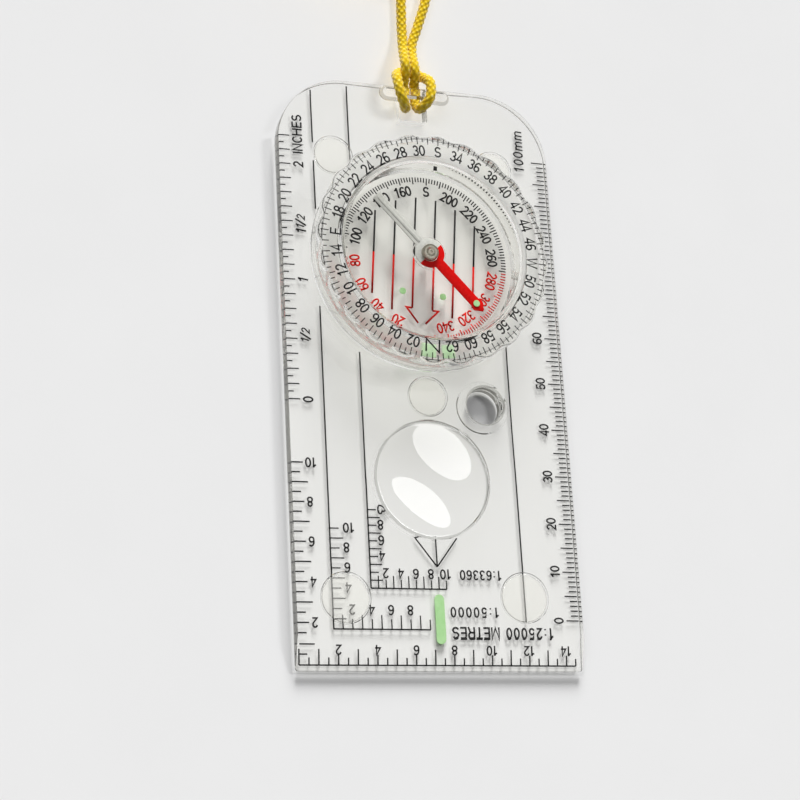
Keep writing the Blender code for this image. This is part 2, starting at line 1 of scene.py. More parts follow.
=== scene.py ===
"""The looks of the baseplate compass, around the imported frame. Metres, +Z up, +Y towards the lanyard."""

import json
from math import asin, ceil, cos, degrees, floor, pi, radians, sin, sqrt, tau

import bmesh
import bpy
import numpy as np
from mathutils import Matrix, Vector


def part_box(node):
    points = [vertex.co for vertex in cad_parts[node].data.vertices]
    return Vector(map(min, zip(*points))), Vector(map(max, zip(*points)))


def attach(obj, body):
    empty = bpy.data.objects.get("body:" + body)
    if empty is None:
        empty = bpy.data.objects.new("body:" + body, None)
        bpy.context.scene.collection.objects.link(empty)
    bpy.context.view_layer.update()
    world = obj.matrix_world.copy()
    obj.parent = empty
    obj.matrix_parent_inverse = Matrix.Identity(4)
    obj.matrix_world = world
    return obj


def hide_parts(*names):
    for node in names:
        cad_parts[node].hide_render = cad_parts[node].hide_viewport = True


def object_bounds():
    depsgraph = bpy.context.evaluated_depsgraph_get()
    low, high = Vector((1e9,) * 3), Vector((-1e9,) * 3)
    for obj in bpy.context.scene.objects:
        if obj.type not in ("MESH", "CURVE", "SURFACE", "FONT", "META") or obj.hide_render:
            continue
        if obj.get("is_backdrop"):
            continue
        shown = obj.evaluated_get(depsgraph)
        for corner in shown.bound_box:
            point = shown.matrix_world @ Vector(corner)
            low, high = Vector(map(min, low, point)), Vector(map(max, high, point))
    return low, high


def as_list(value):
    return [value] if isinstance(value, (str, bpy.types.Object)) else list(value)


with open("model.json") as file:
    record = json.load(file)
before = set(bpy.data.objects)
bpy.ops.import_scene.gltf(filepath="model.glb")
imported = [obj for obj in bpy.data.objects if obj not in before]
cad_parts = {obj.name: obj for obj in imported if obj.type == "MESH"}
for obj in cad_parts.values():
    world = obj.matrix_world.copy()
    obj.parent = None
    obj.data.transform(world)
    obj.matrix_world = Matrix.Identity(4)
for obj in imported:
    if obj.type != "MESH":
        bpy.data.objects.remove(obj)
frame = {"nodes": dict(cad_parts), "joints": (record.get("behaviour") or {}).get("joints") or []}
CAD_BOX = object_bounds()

MM = 0.001
BASE, DIAL, NEEDLE = "base", "dial", "needle"

# Places read from the frame
PLATE_LOW, PLATE_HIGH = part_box("baseplate")
BEZEL_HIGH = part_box("bezel")[1]
CUP_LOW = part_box("capsule_cup")[0]
COVER_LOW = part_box("capsule_cover")[0]
LENS_LOW, LENS_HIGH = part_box("magnifier_lens")
AXIS = next(joint["pos_m"] for joint in frame["joints"] if joint["name"] == "dial_turn")
DIAL_CENTRE = Vector((AXIS[0], AXIS[1], 0.0))
LENS_CENTRE = (LENS_LOW + LENS_HIGH) / 2
PLATE_BOTTOM = 0.6 * MM
PLATE_TOP = PLATE_BOTTOM + 3.0 * MM
PRINT_LIFT = 0.02 * MM
INK = 0.012  # millimetres
ACRYLIC = 1.49  # index of refraction
PLATE_PRINT_Z = PLATE_BOTTOM + PRINT_LIFT
BEZEL_TOP = BEZEL_HIGH.z - 0.02 * MM
CARD_Z = CUP_LOW.z + 0.9 * MM


def put(name, data):
    """A new object in the scene."""
    obj = bpy.data.objects.new(name, data)
    bpy.context.scene.collection.objects.link(obj)
    return obj


# ---- camera

CAMERA_PLACE = Vector((-0.14067, -0.12580, 0.36958))
CAMERA_AIM = Vector((0.32931, 0.29015, -0.89854))
CAMERA_UP = Vector((-0.04710, 0.95548, 0.29128))
CAMERA_LENS = 90.82


def add_camera():
    back = -CAMERA_AIM.normalized()
    right = CAMERA_UP.cross(back).normalized()
    up = back.cross(right)
    data = bpy.data.cameras.new("camera")
    data.lens = CAMERA_LENS
    data.sensor_width = 36.0
    data.clip_start = 0.01
    camera = put("camera", data)
    turn = Matrix((right, up, back)).transposed().to_4x4()
    camera.matrix_world = Matrix.Translation(CAMERA_PLACE) @ turn
    bpy.context.scene.camera = camera


# ---- node helpers


class Nodes:
    """Short calls for building the node tree of a material or a world."""

    def __init__(self, name, kind="material"):
        self.owner = getattr(bpy.data, f"{kind}s").new(name)
        self.owner.use_nodes = True
        self.tree = self.owner.node_tree
        self.tree.nodes.clear()
        self.output = self.add(f"ShaderNodeOutput{kind.title()}")

    def add(self, kind, inputs=None, **settings):
        node = self.tree.nodes.new(kind)
        for key, value in settings.items():
            setattr(node, key, value)
        for key, value in (inputs or {}).items():
            self.set(node.inputs[key], value)
        return node

    def set(self, socket, value):
        if isinstance(value, bpy.types.NodeSocket):
            self.tree.links.new(value, socket)
        elif isinstance(value, bpy.types.Node):
            self.tree.links.new(value.outputs[0], socket)
        else:
            socket.default_value = value

    def place(self):
        return self.add("ShaderNodeTexCoord").outputs["Object"]

    def noise(self, scale, detail=3.0, roughness=0.55, vector=None):
        inputs = {"Scale": scale, "Detail": detail, "Roughness": roughness}
        inputs["Vector"] = vector or self.place()
        return self.add("ShaderNodeTexNoise", inputs).outputs["Fac"]

    def ramp(self, factor, low, high, start=0.35, end=0.65):
        node = self.add("ShaderNodeValToRGB", {"Fac": factor})
        first, last = node.color_ramp.elements
        first.position, first.color = start, (*low, 1.0)
        last.position, last.color = end, (*high, 1.0)
        return node.outputs["Color"]

    def between(self, value, low, high, start=0.0, end=1.0):
        inputs = {"Value": value, "From Min": start, "From Max": end, "To Min": low, "To Max": high}
        return self.add("ShaderNodeMapRange", inputs).outputs["Result"]

    def mix(self, factor, low, high):
        node = self.add("ShaderNodeMix", data_type="RGBA")
        for socket, value in (("Factor", factor), (6, low), (7, high)):
            self.set(node.inputs[socket], value)
        return node.outputs[2]

    def principled(self, inputs):
        return self.add("ShaderNodeBsdfPrincipled", inputs)

    def split(self, vector):
        return self.add("ShaderNodeSeparateXYZ", {"Vector": vector}).outputs

    def math(self, operation, a, b=None):
        node = self.add("ShaderNodeMath", operation=operation)
        self.set(node.inputs[0], a)
        if b is not None:
            self.set(node.inputs[1], b)
        return node.outputs[0]

    def bump(self, height, strength, distance):
        return self.add("ShaderNodeBump", {"Height": height, "Strength": strength, "Distance": distance})

    def finish(self, shader):
        self.set(self.output.inputs["Surface"], shader)
        return self.owner


def lets_lamps_through(nodes, shader, shade):
    """Lamp light passes straight through, dimmed to a shade, rather than by refraction."""
    clear = nodes.add("ShaderNodeBsdfTransparent", {"Color": shade})
    path = nodes.add("ShaderNodeLightPath")
    straight = nodes.math("MAXIMUM", path.outputs["Is Shadow Ray"], path.outputs["Is Diffuse Ray"])
    return nodes.add("ShaderNodeMixShader", {0: straight, 1: shader, 2: clear})


def edge_shade(nodes, shade, across, along):
    """Dims lamp light that enters by an upright face, which bends most of it away.
    The levels are for faces across the plate and faces along it."""
    geometry = nodes.add("ShaderNodeNewGeometry")
    facing = nodes.split(geometry.outputs["True Normal"])
    side = nodes.between(nodes.math("ABSOLUTE", facing["Y"]), across, along)
    flat = nodes.between(nodes.math("ABSOLUTE", facing["Z"]), 0.0, 1.0, 0.8, 0.94)
    return nodes.mix(nodes.math("MAXIMUM", flat, geometry.outputs["Backfacing"]), side, (*shade, 1.0))


def clear_plastic(name, tint=(1.0, 0.998, 0.985), shade=(0.99, 0.99, 0.985), ior=ACRYLIC, edges=None):
    """Moulded clear plastic: faint flow ripples and fine scuffs in its polish."""
    nodes = Nodes(name)
    scuffs = nodes.noise(900.0, 6.0, 0.7)
    flow = nodes.noise(55.0, 2.0, 0.5)
    shader = nodes.principled({
        "Base Color": nodes.ramp(flow, tint, tuple(0.985 * c for c in tint)),
        "Roughness": nodes.between(scuffs, 0.0, 0.03),
        "Transmission Weight": 1.0,
        "IOR": ior,
        "Normal": nodes.bump(flow, 0.03, 0.2 * MM),
    })
    lamp_shade = edge_shade(nodes, shade, *edges) if edges else (*shade, 1.0)
    return nodes.finish(lets_lamps_through(nodes, shader, lamp_shade))


def passing(name, tint):
    """A face between two bodies of the same index, where light goes straight on."""
    nodes = Nodes(name)
    cloud = nodes.noise(300.0, 2.0)
    colour = nodes.ramp(cloud, tint, tuple(min(1.0, 1.01 * c) for c in tint))
    return nodes.finish(nodes.add("ShaderNodeBsdfTransparent", {"Color": colour}))


def frosted(name, share, ior=ACRYLIC, rough=(0.0, 0.04), front=None):
    """Clear, with a thin milky film that shows the prints up; lamp light is dimmed near any front edge."""
    nodes = Nodes(name)
    scuffs = nodes.noise(700.0, 5.0, 0.65)
    glass = nodes.principled({
        "Base Color": (1.0, 1.0, 0.995, 1.0), "Roughness": nodes.between(scuffs, *rough),
        "Transmission Weight": 1.0, "IOR": ior,
    })
    milk = nodes.ramp(scuffs, (1.0, 0.985, 0.93), (1.0, 0.99, 0.94))
    film = nodes.add("ShaderNodeBsdfDiffuse", {"Color": milk})
    mixed = nodes.add("ShaderNodeMixShader", {0: share, 1: glass, 2: film})
    shade = (0.99, 0.99, 0.98, 1.0)
    if front is not None:
        inside = nodes.between(nodes.split(nodes.place())["Y"], 0.0, 1.0, front, front + 1.3 * MM)
        shade = nodes.mix(inside, (0.06, 0.06, 0.06, 1.0), shade)
    return nodes.finish(lets_lamps_through(nodes, mixed, shade))


def grained(name, low, high, rough, scale, detail, bump, depth, metallic=0.0):
    """A surface whose colour, polish and height all follow one fine grain."""
    nodes = Nodes(name)
    grain = nodes.noise(scale, detail)
    return nodes.finish(nodes.principled({
        "Base Color": nodes.ramp(grain, low, high),
        "Roughness": nodes.between(grain, *rough),
        "Metallic": metallic,
        "Normal": nodes.bump(grain, bump, depth),
    }))


def painted(name, low, high, rough=(0.4, 0.6), scale=1500.0):
    """Ink or paint with a slightly uneven coat."""
    return grained(name, low, high, rough, scale, 4.0, 0.1, 0.02 * MM)


# ---- mesh helpers


def mm(points):
    """Points in millimetres, as metres."""
    return [(x * MM, y * MM) for x, y in points]


def mesh_object(name, bm, materials=(), body=None):
    bmesh.ops.recalc_face_normals(bm, faces=bm.faces)
    mesh = bpy.data.meshes.new(name)
    bm.to_mesh(mesh)
    bm.free()
    return wrap_mesh(name, mesh, materials, body)


def wrap_mesh(name, mesh, materials, body, smooth=35.0):
    mesh.shade_smooth()
    if smooth:
        mesh.set_sharp_from_angle(angle=radians(smooth))
    for material in materials:
        mesh.materials.append(material)
    obj = put(name, mesh)
    if body:
        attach(obj, body)
    return obj


def turned(profile, steps=128, radius_at=None):
    """A bmesh turned about Z from a closed profile of (radius, height); a radius of 0 is a pole."""
    bm = bmesh.new()
    rings = []
    for radius, height in profile:
        if radius == 0:
            rings.append([bm.verts.new((0, 0, height))] * steps)
            continue
        ring = []
        for step in range(steps):
            angle = tau * step / steps
            at = radius_at(radius, height, angle) if radius_at else radius
            ring.append(bm.verts.new((at * cos(angle), at * sin(angle), height)))
        rings.append(ring)
    for here, there in zip(rings, rings[1:] + rings[:1]):
        for step in range(steps):
            following = (step + 1) % steps
            corners = [here[step], here[following], there[following], there[step]]
            face = list(dict.fromkeys(corners))
            if len(face) > 2:
                bm.faces.new(face)
    return bm


def rounded(points, radius, steps=4):
    """A closed outline with each corner rounded off."""
    out = []
    count = len(points)
    for index in range(count):
        corner = Vector(points[index])
        before, after = Vector(points[index - 1]), Vector(points[(index + 1) % count])
        back, on = (before - corner), (after - corner)
        reach = min(radius, 0.45 * back.length, 0.45 * on.length)
        start, end = corner + reach * back.normalized(), corner + reach * on.normalized()
        for step in range(steps + 1):
            t = step / steps
            out.append(tuple((1 - t) ** 2 * start + 2 * t * (1 - t) * corner + t**2 * end))
    return out


def arc(centre, radius, start, end, steps):
    for step in range(steps + 1):
        angle = radians(start + (end - start) * step / steps)
        yield centre[0] + radius * cos(angle), centre[1] + radius * sin(angle)


def stadium(centre, half_length, radius, steps):
    x, y = centre
    straight = half_length - radius
    right = arc((x + straight, y), radius, -90, 90, steps)
    left = arc((x - straight, y), radius, 90, 270, steps)
    return [*right, *left]


def prism(points, pull):
    """The flat face through these points, pulled out along a vector."""
    bm = bmesh.new()
    face = bm.faces.new([bm.verts.new(point) for point in points])
    far_end = bmesh.ops.extrude_face_region(bm, geom=[face])["geom"]
    verts = [item for item in far_end if isinstance(item, bmesh.types.BMVert)]
    bmesh.ops.translate(bm, vec=pull, verts=verts)
    return bm


def extruded(outline, bottom, top):
    return prism([(x, y, bottom) for x, y in outline], (0, 0, top - bottom))


def bevelled(bm, offset, segments, above=None):
    """Rounds every level edge or, given a height, every edge above it."""
    rim = []
    for edge in bm.edges:
        low, high = sorted(vert.co.z for vert in edge.verts)
        if low > above if above is not None else high - low < 1e-6:
            rim.append(edge)
    bmesh.ops.bevel(bm, geom=rim, offset=offset, segments=segments, profile=0.5, affect="EDGES")
    return bm


def moved(bm, x, y):
    bmesh.ops.translate(bm, vec=(x, y, 0), verts=bm.verts)
    return bm


def apply_booleans(target, tools):
    for tool, operation in tools:
        modifier = target.modifiers.new(tool.name, "BOOLEAN")
        modifier.operation = operation
        modifier.solver = "EXACT"
        modifier.object = tool
    graph = bpy.context.evaluated_depsgraph_get()
    mesh = bpy.data.meshes.new_from_object(target.evaluated_get(graph))
    target.modifiers.clear()
    old = target.data
    target.data = mesh
    bpy.data.meshes.remove(old)
    for tool, _ in tools:
        bpy.data.objects.remove(tool)
    mesh.shade_smooth()
    mesh.set_sharp_from_angle(angle=radians(30))


def tool(name, bm):
    return mesh_object(name, bm)


# ---- ink: strokes and lettering


def bow(x, y, across, up, start, end, steps=10):
    """Points on an ellipse's arc, angles in degrees."""
    return [
        (x + across * cos(radians(start + (end - start) * step / steps)),
         y + up * sin(radians(start + (end - start) * step / steps)))
        for step in range(steps + 1)
    ]


# Each glyph is (width, strokes), on a cap height of 1
SIX = [bow(0.29, 0.31, 0.21, 0.24, 0, 360, 16), bow(0.335, 0.5, 0.255, 0.43, 48, 190, 9)]
GLYPHS = {
    "0": (0.58, [bow(0.29, 0.5, 0.215, 0.43, 0, 360, 18)]),
    "1": (0.58, [[(0.36, 0.0), (0.36, 1.0)], [(0.12, 0.74), (0.26, 0.79), (0.35, 0.95)]]),
    "2": (0.58, [bow(0.28, 0.68, 0.205, 0.25, 168, -28, 9) + [(0.09, 0.07), (0.53, 0.07)]]),
    "3": (0.58, [bow(0.28, 0.705, 0.185, 0.225, 160, -88, 9), bow(0.28, 0.29, 0.215, 0.22, 95, -165, 9)]),
    "4": (0.58, [[(0.4, 0.0), (0.4, 0.97), (0.06, 0.29), (0.55, 0.29)]]),
    "5": (0.58, [[(0.5, 0.93), (0.16, 0.93), (0.11, 0.48)] + bow(0.28, 0.33, 0.215, 0.26, 140, -160, 10)]),
    "6": (0.58, SIX),
    "7": (0.58, [[(0.06, 0.93), (0.51, 0.93), (0.36, 0.66), (0.26, 0.34), (0.22, 0.0)]]),
    "8": (0.58, [bow(0.29, 0.725, 0.185, 0.205, 0, 360, 14), bow(0.29, 0.285, 0.215, 0.22, 0, 360, 14)]),
    "9": (0.58, [[(0.58 - x, 1.0 - y) for x, y in stroke] for stroke in SIX]),
    "N": (0.74, [[(0.1, 0.0), (0.1, 0.97), (0.64, 0.03), (0.64, 1.0)]]),
    "S": (0.68, [bow(0.34, 0.7, 0.225, 0.225, 25, 250, 9) + bow(0.34, 0.285, 0.25, 0.215, 75, -160, 9)]),
    "E": (0.66, [[(0.62, 0.07), (0.12, 0.07), (0.12, 0.93), (0.61, 0.93)], [(0.12, 0.51), (0.57, 0.51)]]),
    "W": (0.96, [[(0.04, 1.0), (0.26, 0.04), (0.48, 0.96), (0.7, 0.04), (0.92, 1.0)]]),
    "M": (0.84, [[(0.1, 0.0), (0.1, 0.96), (0.42, 0.06), (0.74, 0.96), (0.74, 0.0)]]),
    "T": (0.62, [[(0.02, 0.93), (0.6, 0.93)], [(0.31, 0.93), (0.31, 0.0)]]),
    "R": (0.72, [[(0.12, 0.0), (0.12, 0.93), (0.42, 0.93)] + bow(0.42, 0.7, 0.2, 0.23, 90, -90, 8)
                 + [(0.12, 0.47)], [(0.42, 0.47), (0.52, 0.38), (0.6, 0.08), (0.65, 0.0)]]),
    "I": (0.28, [[(0.14, 0.0), (0.14, 1.0)]]),
    "C": (0.72, [bow(0.38, 0.5, 0.27, 0.43, 40, 320, 14)]),
    "H": (0.74, [[(0.1, 0.0), (0.1, 1.0)], [(0.64, 0.0), (0.64, 1.0)], [(0.1, 0.52), (0.64, 0.52)]]),
    "m": (0.86, [[(0.08, 0.0), (0.08, 0.72)], bow(0.245, 0.5, 0.165, 0.16, 180, 0, 7) + [(0.41, 0.0)],
                 bow(0.595, 0.5, 0.185, 0.16, 180, 0, 7) + [(0.78, 0.0)]]),
    ":": (0.3, [[(0.15, 0.07), (0.15, 0.2)], [(0.15, 0.55), (0.15, 0.68)]]),
    "/": (0.3, [[(0.0, -0.02), (0.3, 1.02)]]),
    " ": (0.36, []),
}


class Ink:
    """Flat printed strokes, each a thin closed bar, gathered into one mesh."""

    def __init__(self, bottom, centre=(0.0, 0.0), turn=0.0):
        self.bottom, self.centre, self.turn = bottom, centre, turn
        self.verts, self.faces = [], []

    def stroke(self, points, width):
        points = [Vector(point) for point in points]
        closed = (points[0] - points[-1]).length < 1e-7
        if closed:
            points = points[:-1]
        count = len(points)
        first = len(self.verts)
        for index, point in enumerate(points):
            before = points[index - 1] if index or closed else point
            after = points[(index + 1) % count] if index < count - 1 or closed else point
            ahead = (after - point).normalized() if after != point else (point - before).normalized()
            behind = (point - before).normalized() if before != point else ahead
            side = Vector((-(ahead + behind).y, (ahead + behind).x))
            side = side.normalized() if side.length > 1e-6 else Vector((-ahead.y, ahead.x))
            lean = max(0.45, side.dot(Vector((-ahead.y, ahead.x))))
            offset = side * (width / 2 / lean)
            for edge in (point + offset, point - offset):
                self.verts += [(edge.x, edge.y, 0.0), (edge.x, edge.y, INK)]
        for index in range(count if closed else count - 1):
            a, b = first + 4 * index, first + 4 * ((index + 1) % count)
            self.faces += [(a + 1, a + 3, b + 3, b + 1), (a, b, b + 2, a + 2)]
            self.faces += [(a, a + 1, b + 1, b), (a + 2, b + 2, b + 3, a + 3)]
        if not closed:
            last = first + 4 * (count - 1)
            self.faces += [(first, first + 2, first + 3, first + 1), (last, last + 1, last + 3, last + 2)]

    def line(self, x0, y0, x1, y1, width):
        self.stroke([(x0, y0), (x1, y1)], width)

    def text(self, words, x, y, height, turn=0.0, weight=0.16, wide=1.06, slant=0.0, track=0.0):
        """Words centred on a point; turn in degrees."""
        total = sum(GLYPHS[letter][0] * wide + track for letter in words) - track
        cursor = -total / 2
        spin = Matrix.Rotation(radians(turn), 2)
        for letter in words:
            width, strokes = GLYPHS[letter]
            for stroke in strokes:
                placed = []
                for u, v in stroke:
                    v -= 0.5
                    local = Vector((cursor + u * wide + slant * v, v)) * height
                    placed.append(Vector((x, y)) + spin @ local)
                self.stroke(placed, weight * height)
            cursor += width * wide + track

    def build(self, name, material, body):
        mesh = bpy.data.meshes.new(name)
        turn = Matrix.Rotation(self.turn, 4, "Z")
        place = Matrix.Translation((*self.centre, self.bottom)) @ turn
        mesh.from_pydata([MM * (place @ Vector(vert)) for vert in self.verts], [], self.faces)
        mesh.update()
        return wrap_mesh(name, mesh, [material], body, smooth=None)


# ---- lanyard

CORD_DIAMETER = 2.3 * MM
BRAID_SIDES, BRAID_CARRIERS = 40, 5
BRAID_PITCH, BRAID_RELIEF = 1.5 * MM, 0.3 * MM
COIL_CENTRE = (-9.6, 101.5)
COIL_SIDE = 1.2
COIL_RADIUS = 12.5
COIL_FLOOR = 1.6
COIL_RISE = 2.35
HITCH_LEFT = (
    (0.5, 66.9, 1.25), (-1.3, 66.75, 1.5), (-2.9, 65.4, 2.9), (-3.6, 63.4, 5.0), (-3.55, 60.6, 5.85),
    (-2.8, 58.2, 5.6), (-1.85, 57.4, 4.1), (-1.2, 58.0, 2.5), (-1.0, 59.6, 1.5), (-0.95, 61.3, 1.25),
    (-1.05, 62.9, 1.45), (-1.25, 64.3, 2.7), (-1.35, 65.6, 4.1), (-1.35, 67.2, 4.5), (-1.2, 69.0, 3.7),
)
HITCH_RIGHT = (
    (0.5, 66.9, 1.25), (2.3, 66.45, 1.45), (3.55, 65.1, 2.9), (3.75, 63.4, 5.0), (3.6, 60.8, 5.85),
    (2.95, 58.7, 5.7), (1.9, 57.6, 4.2), (1.6, 58.1, 2.5), (1.5, 59.6, 1.5), (1.45, 61.3, 1.25),
    (1.35, 62.9, 1.45), (1.15, 64.3, 2.6), (0.95, 65.6, 3.75), (0.9, 67.2, 3.8), (1.0, 69.0, 2.9),
)
LEFT_STRAND = (
    (-0.95, 71.2, 2.6), (-0.7, 74.0, 1.7), (-0.5, 78.0, 1.2), (-0.3, 84.3, 1.2), (-0.2, 88.7, 1.25),
    (0.3, 93.6, 1.4),
)
RIGHT_STRAND = (
    (1.26, 71.2, 1.8), (1.65, 74.0, 1.25), (3.1, 78.0, 1.2), (5.4, 84.8, 1.2), (6.2, 89.5, 1.2),
    (6.0, 94.6, 1.3), (5.1, 99.3, 1.5),
)
KNOT_CENTRE = (-22.1, 101.2, 13.6)


def coil_turns(radius, start, end, step=15.0):
    """Points round the coil, angles in degrees; each turn lies flat and climbs over its last 40 degrees."""
    points = []
    count = ceil((end - start) / step)
    for index in range(count + 1):
        angle = start + (end - start) * index / count
        turns = floor(angle / 360.0)
        climb = max(0.0, (angle / 360.0 - turns - 320.0 / 360.0) * 9.0)
        climb = climb * climb * (3 - 2 * climb)
        height = COIL_FLOOR + COIL_RISE * (max(turns, 0) + (climb if turns >= 0 else 0.0))
        x = COIL_CENTRE[0] + radius * cos(radians(angle))
        y = COIL_CENTRE[1] + radius * sin(radians(angle))
        points.append((x, y, height))
    return points


def smooth_curve(points, spacing):
    """Evenly spaced points, in metres, on a Catmull-Rom curve through points in millimetres."""
    knots = np.array(points)
    knots = np.vstack([2 * knots[0] - knots[1], knots, 2 * knots[-1] - knots[-2]])
    t = np.linspace(0, 1, 24, endpoint=False)[:, None]
    spans = []
    for a, b, c, d in zip(knots, knots[1:], knots[2:], knots[3:]):
        bend, twist = 2 * a - 5 * b + 4 * c - d, 3 * b - a - 3 * c + d
        spans.append(0.5 * (2 * b + (c - a) * t + bend * t**2 + twist * t**3))
    dense = np.vstack([*spans, knots[-2]])
    along = np.concatenate([[0], np.cumsum(np.linalg.norm(np.diff(dense, axis=0), axis=1))])
    even = np.linspace(0, along[-1], max(2, int(round(along[-1] / spacing))))
    return np.stack([np.interp(even, along, dense[:, axis]) for axis in range(3)], axis=1) * MM


def carried_frames(path):
    """A side and an up vector at each point, carried along the path without twist."""
    ahead = np.gradient(path, axis=0)
    ahead /= np.linalg.norm(ahead, axis=1)[:, None]
    side = np.cross(ahead[0], (0.0, 0.0, 1.0))
    side /= np.linalg.norm(side)
    sides = [side]
    for direction in ahead[1:]:
        side = side - direction * side.dot(direction)
        side /= np.linalg.norm(side)
        sides.append(side)
    sides = np.array(sides)
    return sides, np.cross(ahead, sides)


def braid_height(turn, along):
    """How far the weave stands proud, 0 to 1: two sets of yarns pass over and under each other."""
    first = BRAID_CARRIERS * turn + along / BRAID_PITCH
    second = BRAID_CARRIERS * turn - along / BRAID_PITCH
    over_first = (np.floor(first) + np.floor(second)) % 2 == 0
    across = np.where(over_first, first, second) % 1.0
    lengthways = np.where(over_first, second, first) % 1.0
    crown = np.sqrt(np.clip(1 - (2 * across - 1) ** 2, 0, 1))
    return crown * (0.35 + 0.65 * np.sin(pi * lengthways))


def braided_tube(name, path, radius, material):
    """A closed tube with a braided surface."""
    along = np.concatenate([[0], np.cumsum(np.linalg.norm(np.diff(path, axis=0), axis=1))])
    sides, ups = carried_frames(path)
    turn = np.arange(BRAID_SIDES) / BRAID_SIDES
    weave = braid_height(turn[None, :], along[:, None])
    reach = radius - BRAID_RELIEF + BRAID_RELIEF * weave
    sideways, upwards = np.cos(tau * turn)[None, :, None], np.sin(tau * turn)[None, :, None]
    directions = sideways * sides[:, None, :] + upwards * ups[:, None, :]
    rings = path[:, None, :] + reach[:, :, None] * directions
    around, count = BRAID_SIDES, len(path)
    verts = [*rings.reshape(-1, 3), path[0], path[-1]]
    faces = []
    for ring in range(count - 1):
        a, b = ring * around, (ring + 1) * around
        faces += [(a + k, a + (k + 1) % around, b + (k + 1) % around, b + k) for k in range(around)]
    start, end, last = count * around, count * around + 1, (count - 1) * around
    faces += [(start, (k + 1) % around, k) for k in range(around)]
    faces += [(end, last + k, last + (k + 1) % around) for k in range(around)]
    mesh = bpy.data.meshes.new(name)
    mesh.from_pydata(verts, [], faces)
    mesh.update()
    crown = mesh.attributes.new("crown", "FLOAT", "POINT")
    crown.data.foreach_set("value", [*weave.ravel(), 0.0, 0.0])
    return wrap_mesh(name, mesh, [material], BASE, smooth=None)


def knot_path():
    """A closed three-lobed knot, squeezed to a lump that both strands run into."""
    x, y, z = KNOT_CENTRE
    points = []
    for step in range(25):
        t = tau * step / 24
        across, up = 1.15 * (sin(t) + 2 * sin(2 * t)), 1.25 * (cos(t) - 2 * cos(2 * t))
        points.append((x + across, y + up, z - 1.5 * sin(3 * t)))
    return smooth_curve(points, 0.18)


def add_lanyard(cord_material, tie_material):
    far = 4 * 360 + 120
    x, y, z = KNOT_CENTRE
    left = [*HITCH_LEFT, *LEFT_STRAND, *coil_turns(COIL_RADIUS - COIL_SIDE, -10, far)]
    left += [(-17.9, 107.9, 12.0), (-20.6, 105.0, 13.3), (x + 0.4, y + 1.5, z)]
    right = [*HITCH_RIGHT, *RIGHT_STRAND, *coil_turns(COIL_RADIUS + COIL_SIDE, 10, far)]
    right += [(-19.5, 109.9, 12.0), (-22.5, 106.6, 13.3), (x - 0.6, y + 1.5, z)]
    knot = braided_tube("lanyard_knot_weave", knot_path(), 1.3 * MM, cord_material)
    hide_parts("lanyard_knot")
    tie = add_tie(tie_material)
    for name, route, nodes, extra in (
        ("lanyard_left", left, ("lanyard_left_strand", "lanyard_hitch"), [knot, tie]),
        ("lanyard_right", right, ("lanyard_right_strand", "lanyard_coil"), []),
    ):
        path = smooth_curve(route, 0.2)
        piece = braided_tube(name, path, CORD_DIAMETER / 2, cord_material)
        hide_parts(*nodes)
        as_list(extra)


def add_tie(material):
    """A rubber band round the coil's section, with rounded corners."""
    low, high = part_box("coil_tie")
    band = 0.35 * MM
    half_width = 1.5 * MM
    height = high.z - low.z
    reach = 5.6 * MM
    half = reach / 2
    rim = rounded([(-half, low.z), (half, low.z), (half, high.z), (-half, high.z)], 1.2 * MM, 6)
    centre = Vector((0, (low.z + high.z) / 2))
    bm = bmesh.new()
    loops = []
    for shrink, side in ((0, -1), (0, 1), (band, 1), (band, -1)):
        loop = []
        for u, v in rim:
            u *= 1 - 2 * shrink / reach
            v = centre.y + (v - centre.y) * (1 - 2 * shrink / height)
            loop.append(bm.verts.new((COIL_RADIUS * MM + u, side * half_width, v)))
        loops.append(loop)
    for a, b in zip(loops, loops[1:] + loops[:1]):
        for index in range(len(rim)):
            after = (index + 1) % len(rim)
            bm.faces.new((a[index], a[after], b[after], b[index]))
    middle = (low + high) / 2
    x, y = COIL_CENTRE[0] * MM, COIL_CENTRE[1] * MM
    angle = Vector((middle.x - x, middle.y - y)).angle_signed(Vector((1, 0)))
    bmesh.ops.rotate(bm, cent=(0, 0, 0), matrix=Matrix.Rotation(angle, 3, "Z"), verts=bm.verts)
    piece = mesh_object("coil_band", moved(bm, x, y), [material], BASE)
    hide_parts("coil_tie")
    return piece


# ---- baseplate

PLATE_HALF = (PLATE_HIGH.x - PLATE_LOW.x) / 2
PLATE_END = PLATE_HIGH.y
MARKING_HOLE = (12.0 * MM, -7.85 * MM)
FEET = ("foot_upper_left", "foot_upper_right", "foot_centre", "foot_lower_left", "foot_lower_right")


def plate_outline():
    low, high = 0.6 * MM, 15.0 * MM
    x, y = PLATE_HALF, PLATE_END
    return [
        *arc((x - low, -y + low), low, -90, 0, 4),
        *arc((x - high, y - high), high, 0, 90, 32),
        *arc((-x + high, y - high), high, 90, 180, 32),
        *arc((-x + low, -y + low), low, 180, 270, 4),
    ]


def across_slot(low, high):
    """A rectangle as wide as the lanyard slot, between two places along Y in millimetres."""
    half = 3.15
    return mm([(-half, low), (half, low), (half, high), (-half, high)])


